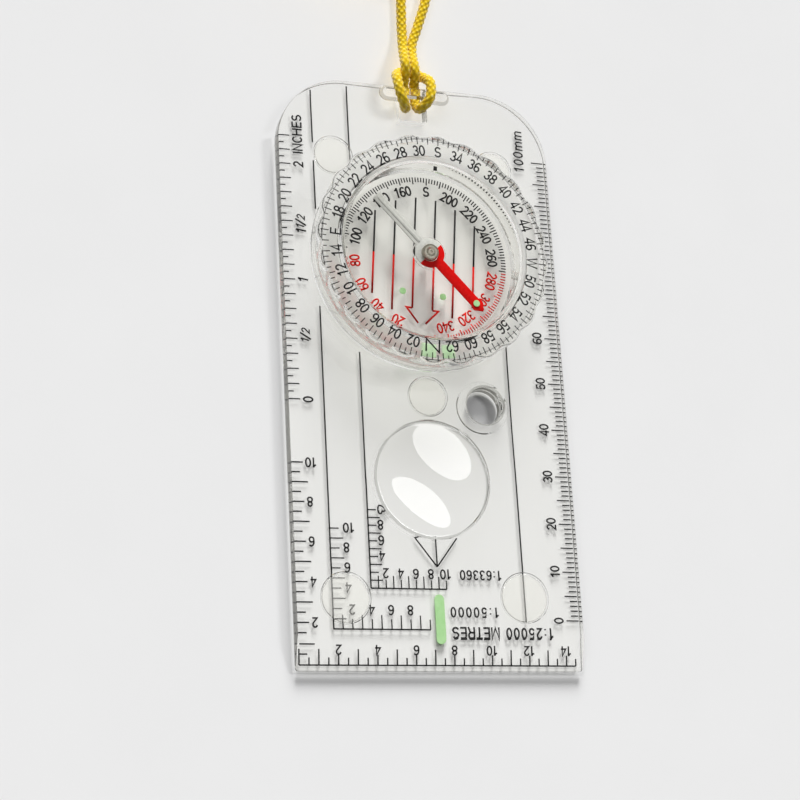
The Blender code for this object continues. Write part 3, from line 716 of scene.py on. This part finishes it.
def plate_tools():
    """(object, operation) of all that shapes the plate."""
    edge, length, reach = 0.8 * MM, 6.5 * MM, 2 * MM
    slope = (PLATE_TOP - PLATE_BOTTOM - edge) / length
    top = PLATE_TOP + reach
    section = ((-PLATE_END - reach, PLATE_BOTTOM + edge - reach * slope),
               (-PLATE_END + (top - PLATE_BOTTOM - edge) / slope, top), (-PLATE_END - reach, top))
    half = PLATE_HALF + reach
    bm = prism([(-half, y, z) for y, z in section], (2 * half, 0, 0))
    yield tool("ruler_bevel_tool", bm), "DIFFERENCE"

    lug_top = PLATE_HIGH.z
    outline = stadium((0.5 * MM, 60.45 * MM), 7.9 * MM, 1.75 * MM, 16)
    bm = bevelled(extruded(outline, PLATE_BOTTOM + 1 * MM, lug_top), 0.9 * MM, 6, lug_top - 0.1 * MM)
    yield tool("lug_tool", bm), "UNION"

    boss = [(0, 0.3), (5.45, 0.3), (5.75, 0.5), (5.75, 1.6), (0, 1.6)]
    yield tool("boss_tool", moved(turned(mm(boss), 72), *MARKING_HOLE)), "UNION"

    dial = [
        (0, -1), (22.25, -1), (22.25, 1.45), (22.15, 1.55), (20.75, 1.55), (20.6, 1.7), (20.6, 3.4),
        (20.8, 3.6), (21.2, 4.0), (21.2, 6), (0, 6),
    ]
    yield tool("dial_hole_tool", moved(turned(mm(dial), 160), *DIAL_PLACE)), "DIFFERENCE"

    wide, narrow, top = 4.65, 3.85, 3.6
    hole = [(0, -1), (narrow, -1)]
    for angle in (0, 22, 45, 68, 90):
        hole.append((wide - 0.8 * cos(radians(angle)), top - 0.8 + 0.8 * sin(radians(angle))))
    hole += [(wide + 0.5, top + 0.001), (wide + 0.5, 6), (0, 6)]
    yield tool("marking_hole_tool", moved(turned(mm(hole), 72), *MARKING_HOLE)), "DIFFERENCE"

    lens = [(0, -1), (12.36, -1), (12.36, 3.4), (12.5, 3.6), (12.7, 3.9), (12.7, 6), (0, 6)]
    bm = moved(turned(mm(lens), 144), LENS_CENTRE.x, LENS_CENTRE.y)
    yield tool("lens_hole_tool", bm), "DIFFERENCE"

    slot = rounded(across_slot(54.4, 60.2), 0.6 * MM)
    yield tool("slot_tool", extruded(slot, -1 * MM, 6 * MM)), "DIFFERENCE"
    for name in FEET:
        low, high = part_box(name)
        middle = (low + high) / 2
        reach = (high.x - low.x) / 2 + 0.06 * MM
        recess = [(0, -1 * MM), (reach, -1 * MM), (reach, 0.85 * MM)]
        recess += [(reach - 0.15 * MM, 1 * MM), (0, 1 * MM)]
        yield tool(f"{name}_tool", moved(turned(recess, 96), middle.x, middle.y)), "DIFFERENCE"
    yield tool("scoop_tool", extruded(across_slot(59, 64), -1 * MM, 2.5 * MM)), "DIFFERENCE"


def add_baseplate(clear, underside, edges, far_walls_painted_shade):
    bm = bevelled(extruded(plate_outline(), PLATE_BOTTOM, PLATE_TOP), 0.22 * MM, 3)
    plate = mesh_object("plate_body", bm, [], BASE)
    apply_booleans(plate, list(plate_tools()))
    plate.data.materials.clear()
    for material in (clear, underside, edges, far_walls_painted_shade):
        plate.data.materials.append(material)
    for polygon in plate.data.polygons:
        middle = polygon.center
        outline = abs(middle.x) > PLATE_HALF - 0.15 * MM or middle.y < 0.15 * MM - PLATE_END
        in_hole = (middle.to_2d() - Vector(MARKING_HOLE)).length < 4.3 * MM
        down = polygon.normal.z < -0.99 and middle.z < PLATE_BOTTOM + 0.01 * MM
        upright = abs(polygon.normal.z) < 0.93
        if down:
            polygon.material_index = 1
        # Outline and marking-hole walls take the material whose dark grey tint is painted shade.
        elif upright and (outline or in_hole):
            polygon.material_index = 2
        # Upright walls at the far end take the material whose grey tint is painted shade.
        elif upright and middle.y > 51 * MM:
            polygon.material_index = 3
    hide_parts("baseplate")


def add_magnifier(clear, underside, rim):
    """A plano-convex lens in a thin flange."""
    curvature, dome, flange = 49.0, 11.65, 12.28
    drop = curvature - sqrt(curvature**2 - dome**2)
    profile = [(0, 0.62), (flange - 0.4, 0.62), (flange, 1.02), (flange, 3.2)]
    profile += [(flange - 0.35, 3.6), (dome + 0.1, 3.6)]
    rings = 22
    for ring in range(rings, 0, -1):
        radius = dome * ring / rings
        profile.append((radius, 3.62 + drop - (curvature - sqrt(curvature**2 - radius**2))))
    profile.append((0, 3.62 + drop))
    bm = turned(mm(profile), 144)
    for face in bm.faces:
        middle = face.calc_center_median()
        on_rim = middle.to_2d().length > (dome + 0.1) * MM and middle.z < 3.599 * MM
        # Rim faces take a grey-tinted clear material: painted shade that draws a grey ring round the lens.
        face.material_index = 1 if middle.z < 0.625 * MM else 2 if on_rim else 0
    bm = moved(bm, LENS_CENTRE.x, LENS_CENTRE.y)
    lens = mesh_object("magnifier", bm, [clear, underside, rim], BASE)
    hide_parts("magnifier_lens")


def add_feet(material):
    for name in FEET:
        low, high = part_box(name)
        middle = (low + high) / 2
        radius = (high.x - low.x) / 2 / MM
        rim = radius - 0.3
        profile = [
            (0, 0.02), (rim - 0.6, 0.02), (rim - 0.3, 0.08), (rim - 0.1, 0.22), (rim, 0.42),
            (rim, 0.7), (rim - 0.12, 0.88), (rim - 0.4, 0.98), (0, 0.98),
        ]
        bm = moved(turned(mm(profile), 72), middle.x, middle.y)
        foot = mesh_object(f"{name}_pad", bm, [material], BASE)
        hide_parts(name)


# ---- prints on the plate

THIN, FINE, DIGIT = 0.30, 0.26, 2.05
ROMER_UNITS = 10
MAP_ROMERS = (
    # corner, millimetres a unit, tick lengths for even and odd, numbers' stand-off in X and Y, last across
    ((-22.1, -54.0), 2.0, (2.0, 2.8), (3.4, 3.8), 8),
    ((-13.98, -45.9), 1.578, (1.75, 2.5), (2.55, 3.0), 10),
)


def add_plate_prints(black):
    ink = Ink(PLATE_PRINT_Z / MM)
    front_ruler(ink)
    edge_romer(ink)
    for romer in MAP_ROMERS:
        map_romer(ink, *romer)
    millimetre_scale(ink)
    inch_scale(ink)
    parallel_lines(ink)
    travel_arrow(ink)
    for words, x0, x1, y, height in (
        ("1:63360", 4.75, 13.84, -42.95, 2.05), ("1:50000", 2.28, 12.74, -50.45, 2.1),
        ("METRES", 2.34, 12.55, -54.55, 2.35), ("1:25000", 13.84, 24.25, -54.55, 2.25),
    ):
        spread_text(ink, words, x0, x1, y, height)
    ink.build("plate_prints", black, BASE)


def spread_text(ink, words, x0, x1, y, height):
    """Words upside down, spaced to fill from x0 to x1."""
    natural = sum(GLYPHS[letter][0] for letter in words)
    track = ((x1 - x0) / height - natural) / (len(words) - 1)
    ink.text(words, (x0 + x1) / 2, y, height, turn=180, wide=1.0, track=track)


def front_ruler(ink):
    """The 1:25000 scale along the front edge, 4 mm a unit."""
    x0, y0, unit = -29.2, -60.95, 4.0
    ink.line(x0, y0, x0 + 14.5 * unit, y0, THIN)
    for half in range(30):
        tall = 1.5 if half % 2 else (3.2 if half % 4 == 2 else 2.1)
        tall = 3.2 if half == 0 else tall
        x = x0 + half * unit / 2
        ink.line(x, y0, x, y0 + tall, THIN)
    for number in range(2, 15, 2):
        ink.text(str(number), x0 + number * unit, -57.9, DIGIT, turn=180)


def edge_romer(ink):
    """The same scale up the left edge."""
    x0, y0, unit = -29.1, -60.8, 4.0
    for half in range(1, 21):
        wide = 1.6 if half % 2 else (3.1 if half % 4 == 2 else 2.2)
        y = y0 + half * unit / 2
        ink.line(x0, y, x0 + wide, y, THIN)
    for number in range(2, 11, 2):
        ink.text(str(number), -25.2 if number > 9 else -25.75, y0 + number * unit, DIGIT, turn=180)


def map_romer(ink, corner, unit, ticks, off, last):
    x0, y0 = corner
    ink.line(x0, y0, x0 + ROMER_UNITS * unit, y0, THIN)
    for step in range(1, ROMER_UNITS + 1):
        x, y = x0 + step * unit, y0 + step * unit
        tall = ticks[step % 2]
        ink.line(x, y0, x, y0 + tall, FINE)
        ink.line(x0, y, x0 + tall, y, FINE)
    for number in range(4, ROMER_UNITS + 1, 2):
        wider = 0.7 if number > 9 else 0.0
        ink.text(str(number), x0 + off[0] + wider, y0 + number * unit + 0.12, DIGIT, turn=180)
        if number <= last:
            ink.text(str(number), x0 + number * unit, y0 + off[1], DIGIT, turn=180)
    ink.text("2", x0 + 2 * unit, y0 + off[1], DIGIT, turn=180)


def millimetre_scale(ink):
    """Up the right edge."""
    outer, y0 = 29.8, -51.9
    for step in range(101):
        inner = 27.1 if step % 5 == 0 else 28.2
        ink.line(inner, y0 + step, outer, y0 + step, FINE)
    for number in range(0, 61, 10):
        ink.text(str(number), 25.45, y0 + number, 2.1, turn=90)
    ink.text("100mm", 24.25, 50.45, 2.3, turn=90, slant=0.1, weight=0.14, wide=1.08, track=0.13)


def inch_scale(ink):
    inch = 25.4
    outer, y0 = -29.1, 53.03 - 60.8
    for step in range(37):
        wide = 0.95 if step % 2 else 2.2
        ink.line(outer, y0 + step * inch / 16, outer + wide, y0 + step * inch / 16, FINE)
    x, height = -25.25, 2.15
    ink.text("0", x, y0, height, turn=90)
    ink.text("1", x, y0 + inch, height, turn=90, slant=0.15)
    ink.text("2", x, y0 + 2 * inch, height, turn=90)
    ink.text("INCHES", x, 49.75, height, turn=90, track=0.02, wide=1.06)
    for whole, y in (("", y0 + 0.5 * inch), ("1", y0 + 1.5 * inch)):
        low = y - 0.3 - (0.8 if whole else 0.0)
        if whole:
            ink.text(whole, x, low - 0.95, height, turn=90, slant=0.15)
        ink.text("1", x - 0.15, low + 0.1, 1.75, turn=90, slant=0.25)
        ink.text("/", x, low + 0.95, height, turn=90, slant=0.3)
        ink.text("2", x + 0.05, low + 2.1, 1.75, turn=90, slant=0.25)


def parallel_lines(ink):
    """Three lines up the plate, broken where the dial stands."""
    dial_y, reach = DIAL_CENTRE.y / MM, 24.4
    for x, low, high, gaps in (
        (-21.99, -54.0, 60.2, [(44.2, 48.26)]), (-14.0, -45.9, 61.85, []), (18.35, -52.35, 22.8, []),
    ):
        half = sqrt(reach**2 - x**2)
        ends = [low, dial_y - half]
        if high > dial_y + half:
            ends += [dial_y + half]
            for start, end in gaps:
                ends += [start, end]
            ends += [high]
        for start, end in zip(ends[::2], ends[1::2]):
            ink.line(x, start, x, end, THIN)


def travel_arrow(ink):
    tip = (0.09, -41.4)
    for start in ((0.04, -35.1), (-4.46, -35.43), (4.59, -35.5)):
        ink.line(*start, *tip, THIN)


# ---- dial

LOBES = 24
LOBE_DEPTH, LOBE_START, LOBE_RISE = 0.6 * MM, 9.3 * MM, 0.6 * MM
DIAL_PLACE = (DIAL_CENTRE.x, DIAL_CENTRE.y)
DIAL_PLACE_MM = (DIAL_CENTRE.x / MM, DIAL_CENTRE.y / MM)
DIAL_TURN = radians(-5.0)
LABEL_RADIUS = 21.3


def valley(turn):
    """0 on a lobe of the bezel's edge, 1 in the valley between two."""
    return (0.5 - 0.5 * cos(LOBES * turn)) ** 1.3


def lobed(radius, height, angle):
    """The bezel's outer radius, which swings between lobe and valley near its top."""
    if height < LOBE_START - LOBE_RISE or radius < 24.2 * MM:
        return radius
    grow = min(1.0, (height - LOBE_START + LOBE_RISE) / (1.2 * MM))
    return radius - LOBE_DEPTH * grow * valley(angle)


def set_on_axis(bm, turn):
    bmesh.ops.rotate(bm, cent=(0, 0, 0), matrix=Matrix.Rotation(turn, 3, "Z"), verts=bm.verts)
    return moved(bm, *DIAL_PLACE)


def add_bezel(clear, matt):
    top, under = BEZEL_TOP / MM, BEZEL_TOP / MM - 1.5
    profile = [
        (24.1, 3.9), (24.3, 4.05), (24.32, 5.2), (24.4, 7.0), (24.45, 8.2), (24.62, 8.7), (24.9, 9.15),
        (25.05, 9.7), (25.08, 10.3), (25.08, 11.1), (25.0, 11.35), (24.85, 11.55), (24.6, top), (20.05, top),
        (19.85, top - 0.15), (19.6, 10.9), (19.42, 10.3), (19.32, 10.0), (19.3, 1.7), (19.4, 1.6),
        (20.3, 1.6), (20.38, 1.7), (20.38, 9.8), (20.6, under - 0.05), (20.9, under), (23.2, under),
        (23.5, under - 0.1), (23.6, 9.6), (23.3, 3.9),
    ]
    bm = set_on_axis(turned(mm(profile), LOBES * 16, lobed), DIAL_TURN)
    for face in bm.faces:
        middle = face.calc_center_median()
        reach = (middle - DIAL_CENTRE).to_2d().length / MM
        face.material_index = int(20.4 < reach < 23.5 and 9.6 < middle.z / MM < under + 0.01)
    bezel = mesh_object("bezel_ring", bm, [clear, matt], DIAL)
    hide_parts("bezel")


def around(angle, radius):
    """A point on the dial, its angle in degrees clockwise from north."""
    turn = radians(-90.0 - angle)
    return radius * cos(turn), radius * sin(turn)


def radial_line(ink, angle, inner, outer, width):
    ink.line(*around(angle, inner), *around(angle, outer), width)


def radial_text(ink, words, angle, radius, height, **style):
    ink.text(words, *around(angle, radius), height, turn=-180.0 - angle, **style)


def lobe_edge(angle):
    """The flat top's outer radius in millimetres at an angle clockwise from north."""
    return 24.62 - 0.6 * valley(radians(-90.0 - angle))


def add_bezel_prints(black):
    """6400 mils: a tick each 50, a longer one each 100, a label each 200."""
    ink = Ink(BEZEL_TOP / MM + 0.005, DIAL_PLACE_MM, DIAL_TURN)
    for step in range(128):
        angle = step * 360 / 128
        inner = 22.75 if step % 2 == 0 else 23.25
        outer = min(24.45, lobe_edge(angle) - 0.02)
        radial_line(ink, angle, inner, outer, 0.2)
    for label in range(32):
        words = {0: "N", 8: "E", 16: "S", 24: "W"}.get(label, f"{2 * label:02d}")
        if label == 0:
            radial_text(ink, words, 0.0, LABEL_RADIUS, 2.8, weight=0.13, wide=1.85)
        else:
            radial_text(ink, words, label * 11.25, LABEL_RADIUS, 2.4, wide=1.0, weight=0.135)
    ink.build("bezel_prints", black, DIAL)


def add_card_prints(black, red):
    """Degrees on the capsule floor, black over the south half and red over the north half."""
    inks = {name: Ink(CARD_Z / MM + PRINT_LIFT / MM, DIAL_PLACE_MM, DIAL_TURN) for name in ("black", "red")}
    for degree in range(0, 360, 2):
        side = "black" if 90 <= degree <= 270 else "red"
        inner = 15.9 if degree % 10 == 0 else 16.4
        radial_line(inks[side], degree, inner, 17.4, 0.25)
    for degree in range(20, 360, 20):
        side = "black" if 90 <= degree <= 270 else "red"
        words = "S" if degree == 180 else str(degree)
        radial_text(inks[side], words, degree, 14.5, 2.15, weight=0.17, wide=1.0)
    for u in (-10.5, -6.3, -2.1, 2.1, 6.3, 10.5):
        reach = {2.1: 12.9, 6.3: 11.6, 10.5: 8.8}[abs(u)]
        north = 10.6 if abs(u) < 3 else reach
        inks["black"].line(u, 0.0, u, reach, 0.38)
        inks["red"].line(u, 0.0, u, -north, 0.42)
    for side in (-1, 1):
        inks["red"].stroke([(side * 2.1, -10.6), (side * 3.35, -10.6), (side * 0.75, -13.6)], 0.42)
    inks["black"].build("card_prints_black", black, DIAL)
    inks["red"].build("card_prints_red", red, DIAL)


def add_index_mark(black):
    ink = Ink(COVER_LOW.z / MM - 0.05, DIAL_PLACE_MM, DIAL_TURN)
    ink.line(*around(180.5, 17.75), *around(180.5, 18.75), 0.8)
    ink.build("index_mark", black, DIAL)


def add_capsule(clear, seam, wall, base):
    """The cup and cover: clear outside; where they meet the liquid light goes straight on."""
    cup = [
        (0, 0.7), (18.6, 0.7), (19.1, 1.2), (19.1, 9.4), (18.0, 9.4), (18.0, 2.4), (17.6, 1.7), (17.2, 1.6),
        (0, 1.6),
    ]
    bm = turned(mm(cup), 160)
    for face in bm.faces:
        middle = face.calc_center_median()
        reach = middle.to_2d().length / MM
        height = middle.z / MM
        if height > 9.39 or (reach < 18.05 and height > 1.5):
            # Index 2, the inner wall, carries a grey tint as painted shade; index 1 lets light straight on.
            face.material_index = 2 if reach > 17.5 and height < 9.39 else 1
        elif height < 0.71:
            face.material_index = 3
    bm = set_on_axis(bm, DIAL_TURN)
    cup_piece = mesh_object("capsule_bowl", bm, [clear, seam, wall, base], DIAL)
    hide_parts("capsule_cup")
    cover = [(0, 9.5), (19.1, 9.5), (19.1, 10.45), (19.02, 10.6), (18.85, 10.68), (0, 10.68)]
    bm = turned(mm(cover), 160)
    for face in bm.faces:
        face.material_index = 1 if face.calc_center_median().z < 9.51 * MM else 0
    lid = mesh_object("capsule_window", set_on_axis(bm, DIAL_TURN), [clear, seam], DIAL)
    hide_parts("capsule_cover")


# ---- needle

NEEDLE_TURN = radians(-47.5)
NEEDLE_LOW, NEEDLE_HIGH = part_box("needle_bar")


def needle_outline():
    """The strip seen from above along +X, in millimetres."""
    half, tail, ring = 1.15, 1.05, 3.15
    ring_angle, tail_angle = degrees(asin(half / ring)), degrees(asin(tail / ring))
    points = [*arc((0, 0), ring, ring_angle, 180 - tail_angle, 28)]
    points += [(-15.7, tail), (-15.95, tail - 0.1), (-16.0, tail - 0.35)]
    points += [(-16.0, -tail + 0.35), (-15.95, -tail + 0.1), (-15.7, -tail)]
    points += arc((0, 0), ring, 180 + tail_angle, 360 - ring_angle, 28)
    points += [(13.6, -half), (14.3, -1.38), (14.7, -1.3), (15.4, -0.6), (15.95, -0.12), (16.0, 0.0)]
    points += [(15.95, 0.12), (15.4, 0.6), (14.7, 1.3), (14.3, 1.38), (13.6, half)]
    return mm(points)


def add_needle(paint, brass, hub_clear):
    bottom, top = NEEDLE_LOW.z, NEEDLE_HIGH.z
    bm = set_on_axis(bevelled(extruded(needle_outline(), bottom, top), 0.07 * MM, 2), NEEDLE_TURN)
    bar = mesh_object("needle", bm, [paint], NEEDLE)
    ridge = [(-15.6, 0.0), (-15.3, 0.35), (-3.2, 0.35), (-3.0, 0.0), (-3.2, -0.35), (-15.3, -0.35)]
    bm = bevelled(extruded(mm(ridge), top - 0.05 * MM, top + 0.1 * MM), 0.09 * MM, 2, above=top)
    low, high, bore = bottom - 1 * MM, top + 1 * MM, 1.85 * MM
    hole = turned([(0, low), (bore, low), (bore, high), (0, high)], 64)
    apply_booleans(bar, [
        (tool("ridge_tool", set_on_axis(bm, NEEDLE_TURN)), "UNION"),
        (tool("hole_tool", set_on_axis(hole, NEEDLE_TURN)), "DIFFERENCE"),
    ])
    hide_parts("needle_bar")

    hub = [(1.86, 6.25), (3.4, 6.25), (3.5, 6.35), (3.5, 6.7), (3.4, 6.8), (2.1, 6.8), (1.86, 6.6)]
    bm = set_on_axis(turned(mm(hub), 96), NEEDLE_TURN)
    piece = mesh_object("needle_hub_disc", bm, [hub_clear], NEEDLE)
    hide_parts("needle_hub")

    cap = [
        (0.95, 6.1), (1.65, 6.1), (1.75, 6.2), (1.75, 7.9), (1.72, 8.15), (1.6, 8.35), (1.35, 8.48),
        (1.05, 8.5), (0.9, 8.46), (0.75, 8.34), (0.55, 8.26), (0.35, 8.28), (0.2, 8.36), (0, 8.38), (0, 8.0),
        (0.9, 8.0), (0.95, 7.95),
    ]
    bm = set_on_axis(turned(mm(cap), 72), NEEDLE_TURN)
    piece = mesh_object("bearing_cap", bm, [brass], NEEDLE)
    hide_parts("jewel_cap")


# ---- materials of the small parts


def cord_material():
    """Nylon braid: fine filaments over the yarns, with painted shade in the weave's hollows and painted
    highlights on its crowns.
    """
    nodes = Nodes("braided_nylon")
    place = nodes.place()
    shade = nodes.noise(650.0, 3.0, 0.6, place)
    stretched = nodes.add("ShaderNodeMapping", {"Vector": place, "Scale": (5200.0, 1700.0, 5200.0)})
    filaments = nodes.add("ShaderNodeTexNoise", {"Vector": stretched, "Scale": 1.0, "Detail": 3.0})
    filaments = filaments.outputs["Fac"]
    crown = nodes.add("ShaderNodeAttribute", attribute_name="crown").outputs["Fac"]
    level = nodes.math("ADD", crown, nodes.math("MULTIPLY", nodes.math("SUBTRACT", shade, 0.5), 0.5))
    # Darker where the weave sinks and brighter on its crowns: painted shade over the yellow of the yarn.
    yarn = nodes.ramp(level, (0.50, 0.33, 0.002), (0.72, 0.50, 0.005), 0.05, 0.65)
    # The highest crowns take a pale yellow: painted highlights.
    painted_glint = nodes.between(level, 0.0, 1.0, 0.84, 1.05)
    shader = nodes.principled({
        "Base Color": nodes.mix(painted_glint, yarn, (0.96, 0.84, 0.18, 1.0)),
        "Roughness": nodes.between(filaments, 0.2, 0.4),
        "Sheen Weight": 0.2,
        "Subsurface Weight": 0.1,
        "Subsurface Radius": (0.6 * MM, 0.35 * MM, 0.08 * MM),
        "Subsurface Scale": 1.0,
        "Normal": nodes.bump(filaments, 0.35, 0.06 * MM),
    })
    return nodes.finish(shader)


def needle_paint():
    """Red on the north half, grey-white on the south half, split across the pivot."""
    nodes = Nodes("needle_enamel")
    place = nodes.split(nodes.place())
    north = Vector((cos(NEEDLE_TURN), sin(NEEDLE_TURN)))
    x = nodes.math("MULTIPLY", nodes.math("SUBTRACT", place["X"], DIAL_CENTRE.x), north.x)
    y = nodes.math("MULTIPLY", nodes.math("SUBTRACT", place["Y"], DIAL_CENTRE.y), north.y)
    half = nodes.math("GREATER_THAN", nodes.math("ADD", x, y), 0.25 * MM)
    grain = nodes.noise(1800.0, 4.0)
    red = nodes.ramp(grain, (0.62, 0.003, 0.003), (0.74, 0.008, 0.006))
    white = nodes.ramp(grain, (0.54, 0.54, 0.51), (0.62, 0.62, 0.58))
    shader = nodes.principled({
        "Base Color": nodes.mix(half, white, red), "Roughness": nodes.between(grain, 0.35, 0.5),
        "Specular IOR Level": 0.05, "Normal": nodes.bump(grain, 0.08, 0.02 * MM),
    })
    return nodes.finish(shader)


def turned_metal(name, low, high):
    return grained(name, low, high, (0.22, 0.4), 2500.0, 5.0, 0.12, 0.01 * MM, metallic=1.0)


def dress(node, material):
    """Gives a carried-over CAD node its finish."""
    obj = frame["nodes"][node]
    obj.data.materials.clear()
    obj.data.materials.append(material)


# ---- stage

SOFTBOX_GLOW = 6.0
LUMINOUS = (
    "travel_lume_bar", "bezel_lume_left", "bezel_lume_right", "orienting_lume_left", "orienting_lume_right",
    "needle_lume_dot",
)


def add_stage():
    nodes = Nodes("paper_floor")
    grain = nodes.noise(35.0, 4.0)
    shader = nodes.principled({
        "Base Color": nodes.ramp(grain, (0.80, 0.80, 0.80), (0.81, 0.81, 0.81)),
        "Roughness": nodes.between(grain, 0.85, 0.95),
        "Specular IOR Level": 0.1,
    })
    material = nodes.finish(shader)
    bm = bmesh.new()
    bmesh.ops.create_grid(bm, x_segments=4, y_segments=4, size=8.0)
    floor_sheet = mesh_object("floor", bm, [material])
    floor_sheet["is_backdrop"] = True

    add_world()
    add_sun("key", (0.75, 0.25), 14.0, 0.8)
    add_sun("left_fill", (-0.7, 0.3), 18.0, 0.35)
    low_lamp = add_sun("far_lamp", (0.1, 2.2), 26.0, 4.9)
    passes_by(low_lamp, ("lanyard_left", "lanyard_right", "lanyard_knot_weave", "coil_band"))
    softbox("right_softbox", (0.585, 0.64), (0.73, 0.72))
    softbox("left_softbox", (0.24, 0.035), (0.68, 0.28), -35.0)


def add_world():
    """A white tent: even light for matt surfaces, but darker to the horizon through clear plastic."""
    nodes = Nodes("studio", "world")
    up = nodes.split(nodes.add("ShaderNodeTexCoord").outputs["Generated"])["Z"]
    levels = {"Value": up, "From Min": 0.02, "From Max": 0.5, "To Min": 0.3, "To Max": 0.95}
    through = nodes.add("ShaderNodeMapRange", levels, interpolation_type="SMOOTHSTEP")
    path = nodes.add("ShaderNodeLightPath")
    level = nodes.between(path.outputs["Is Transmission Ray"], 0.1, through)
    sky = nodes.add("ShaderNodeBackground", {"Color": (1.0, 1.0, 1.0, 1.0), "Strength": level})
    bpy.context.scene.world = nodes.finish(sky)


def add_sun(name, lean, spread, strength):
    """A distant lamp; lean is how far it stands off overhead, along X and Y, for each metre up."""
    data = bpy.data.lights.new(name, "SUN")
    data.angle = radians(spread)
    data.energy = strength
    lamp = put(name, data)
    lamp.rotation_euler = Vector((*lean, 1.0)).to_track_quat("Z", "Y").to_euler()
    lamp.visible_glossy = False
    lamp.visible_transmission = False
    return lamp


def passes_by(lamp, names):
    """The lamp casts no shadow of these pieces."""
    blockers = bpy.data.collections.new(f"{lamp.name}_blockers")
    for name in names:
        blockers.objects.link(bpy.data.objects[name])
    for member in blockers.collection_objects:
        member.light_linking.link_state = "EXCLUDE"
    lamp.light_linking.blocker_collection = blockers


def softbox(name, lean, size, turn=0.0):
    """A bright oval panel half a metre over the magnifier, which shows in its dome only.
    Its middle and size are given as leans."""
    height = 0.5
    data = bpy.data.lights.new(name, "AREA")
    data.shape = "ELLIPSE"
    data.size, data.size_y = height * size[0], height * size[1]
    data.energy = SOFTBOX_GLOW * pi * data.size * data.size_y * pi / 4
    panel = put(name, data)
    panel.location = LENS_CENTRE + height * Vector((*lean, 1.0))
    panel.rotation_euler.z = radians(turn)
    panel.visible_diffuse = False
    panel.visible_transmission = False
    receivers = bpy.data.collections.new(f"{name}_lights")
    receivers.objects.link(bpy.data.objects["magnifier"])
    panel.light_linking.receiver_collection = receivers


def main():
    scene = bpy.context.scene
    scene.view_settings.view_transform = "Standard"
    scene.cycles.max_bounces = 24
    scene.cycles.transmission_bounces = 24
    scene.cycles.transparent_max_bounces = 32
    add_camera()
    black_band = painted("black_rubber_band", (0.02, 0.02, 0.02), (0.035, 0.035, 0.035), (0.5, 0.7))
    add_lanyard(cord_material(), black_band)

    plate_clear = clear_plastic("plate_acrylic")
    # The outline and marking-hole walls get a dark grey tint: painted shade that draws dark lines along the
    # plate's edges and in the hole.
    plate_edges = clear_plastic("plate_edges", (0.5, 0.5, 0.47), edges=(0.3, 0.03))
    # The upright walls at the far end, round the slot and lug, get a grey tint: painted shade on those
    # walls.
    far_walls_painted_shade = clear_plastic("plate_far_edges", (0.5, 0.49, 0.45), edges=(0.75, 0.7))
    underside = frosted("plate_underside", 0.12, front=-PLATE_END)
    silicone = frosted("foot_silicone", 0.16, 1.41, (0.02, 0.1))
    bezel_clear = clear_plastic("bezel_acrylic", (0.99, 0.99, 0.98), (0.985, 0.985, 0.98), edges=(0.92, 0.9))
    bezel_matt = frosted("bezel_matt_underside", 0.22, rough=(0.3, 0.4))
    capsule_clear = clear_plastic("capsule_acrylic", (0.995, 0.995, 0.985), (0.99, 0.99, 0.98))
    capsule_base = frosted("capsule_underside", 0.42)
    hub_clear = clear_plastic("hub_plastic", (0.96, 0.96, 0.95), (0.9, 0.9, 0.9), 1.06)
    seam = passing("liquid_contact", (0.993, 0.993, 0.988))
    # The inner wall's faint grey tint is painted shade, standing in for the grey bands seen at the wall.
    wall = passing("wall_contact", (0.98, 0.98, 0.97))
    black = painted("black_ink", (0.006, 0.006, 0.006), (0.02, 0.02, 0.02))
    red = painted("red_ink", (0.6, 0.008, 0.004), (0.7, 0.02, 0.01))
    lume = painted("luminous_paint", (0.38, 0.68, 0.30), (0.46, 0.74, 0.37), (0.5, 0.7), 900.0)
    brass = turned_metal("plated_brass", (0.42, 0.39, 0.32), (0.55, 0.52, 0.44))
    steel = turned_metal("pin_steel", (0.5, 0.5, 0.5), (0.65, 0.65, 0.65))
    jewel = clear_plastic("sapphire", (0.9, 0.93, 0.98), (0.9, 0.9, 0.95), 1.2)

    add_baseplate(plate_clear, underside, plate_edges, far_walls_painted_shade)
    # The lens rim's grey tint is painted shade.
    add_magnifier(plate_clear, underside, clear_plastic("lens_rim", (0.55, 0.55, 0.53)))
    add_feet(silicone)
    add_plate_prints(black)
    add_bezel(bezel_clear, bezel_matt)
    add_bezel_prints(black)
    add_capsule(capsule_clear, seam, wall, capsule_base)
    add_card_prints(black, red)
    add_index_mark(black)
    add_needle(needle_paint(), brass, hub_clear)

    for node in LUMINOUS:
        dress(node, lume)
    for node, material in (
        ("bezel_retaining_ring", bezel_clear), ("filler_plug", silicone), ("pivot_pin", steel),
        ("jewel_bearing", jewel),
    ):
        dress(node, material)
    add_stage()


main()
[[list(corner) for corner in box] for box in (CAD_BOX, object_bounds())]
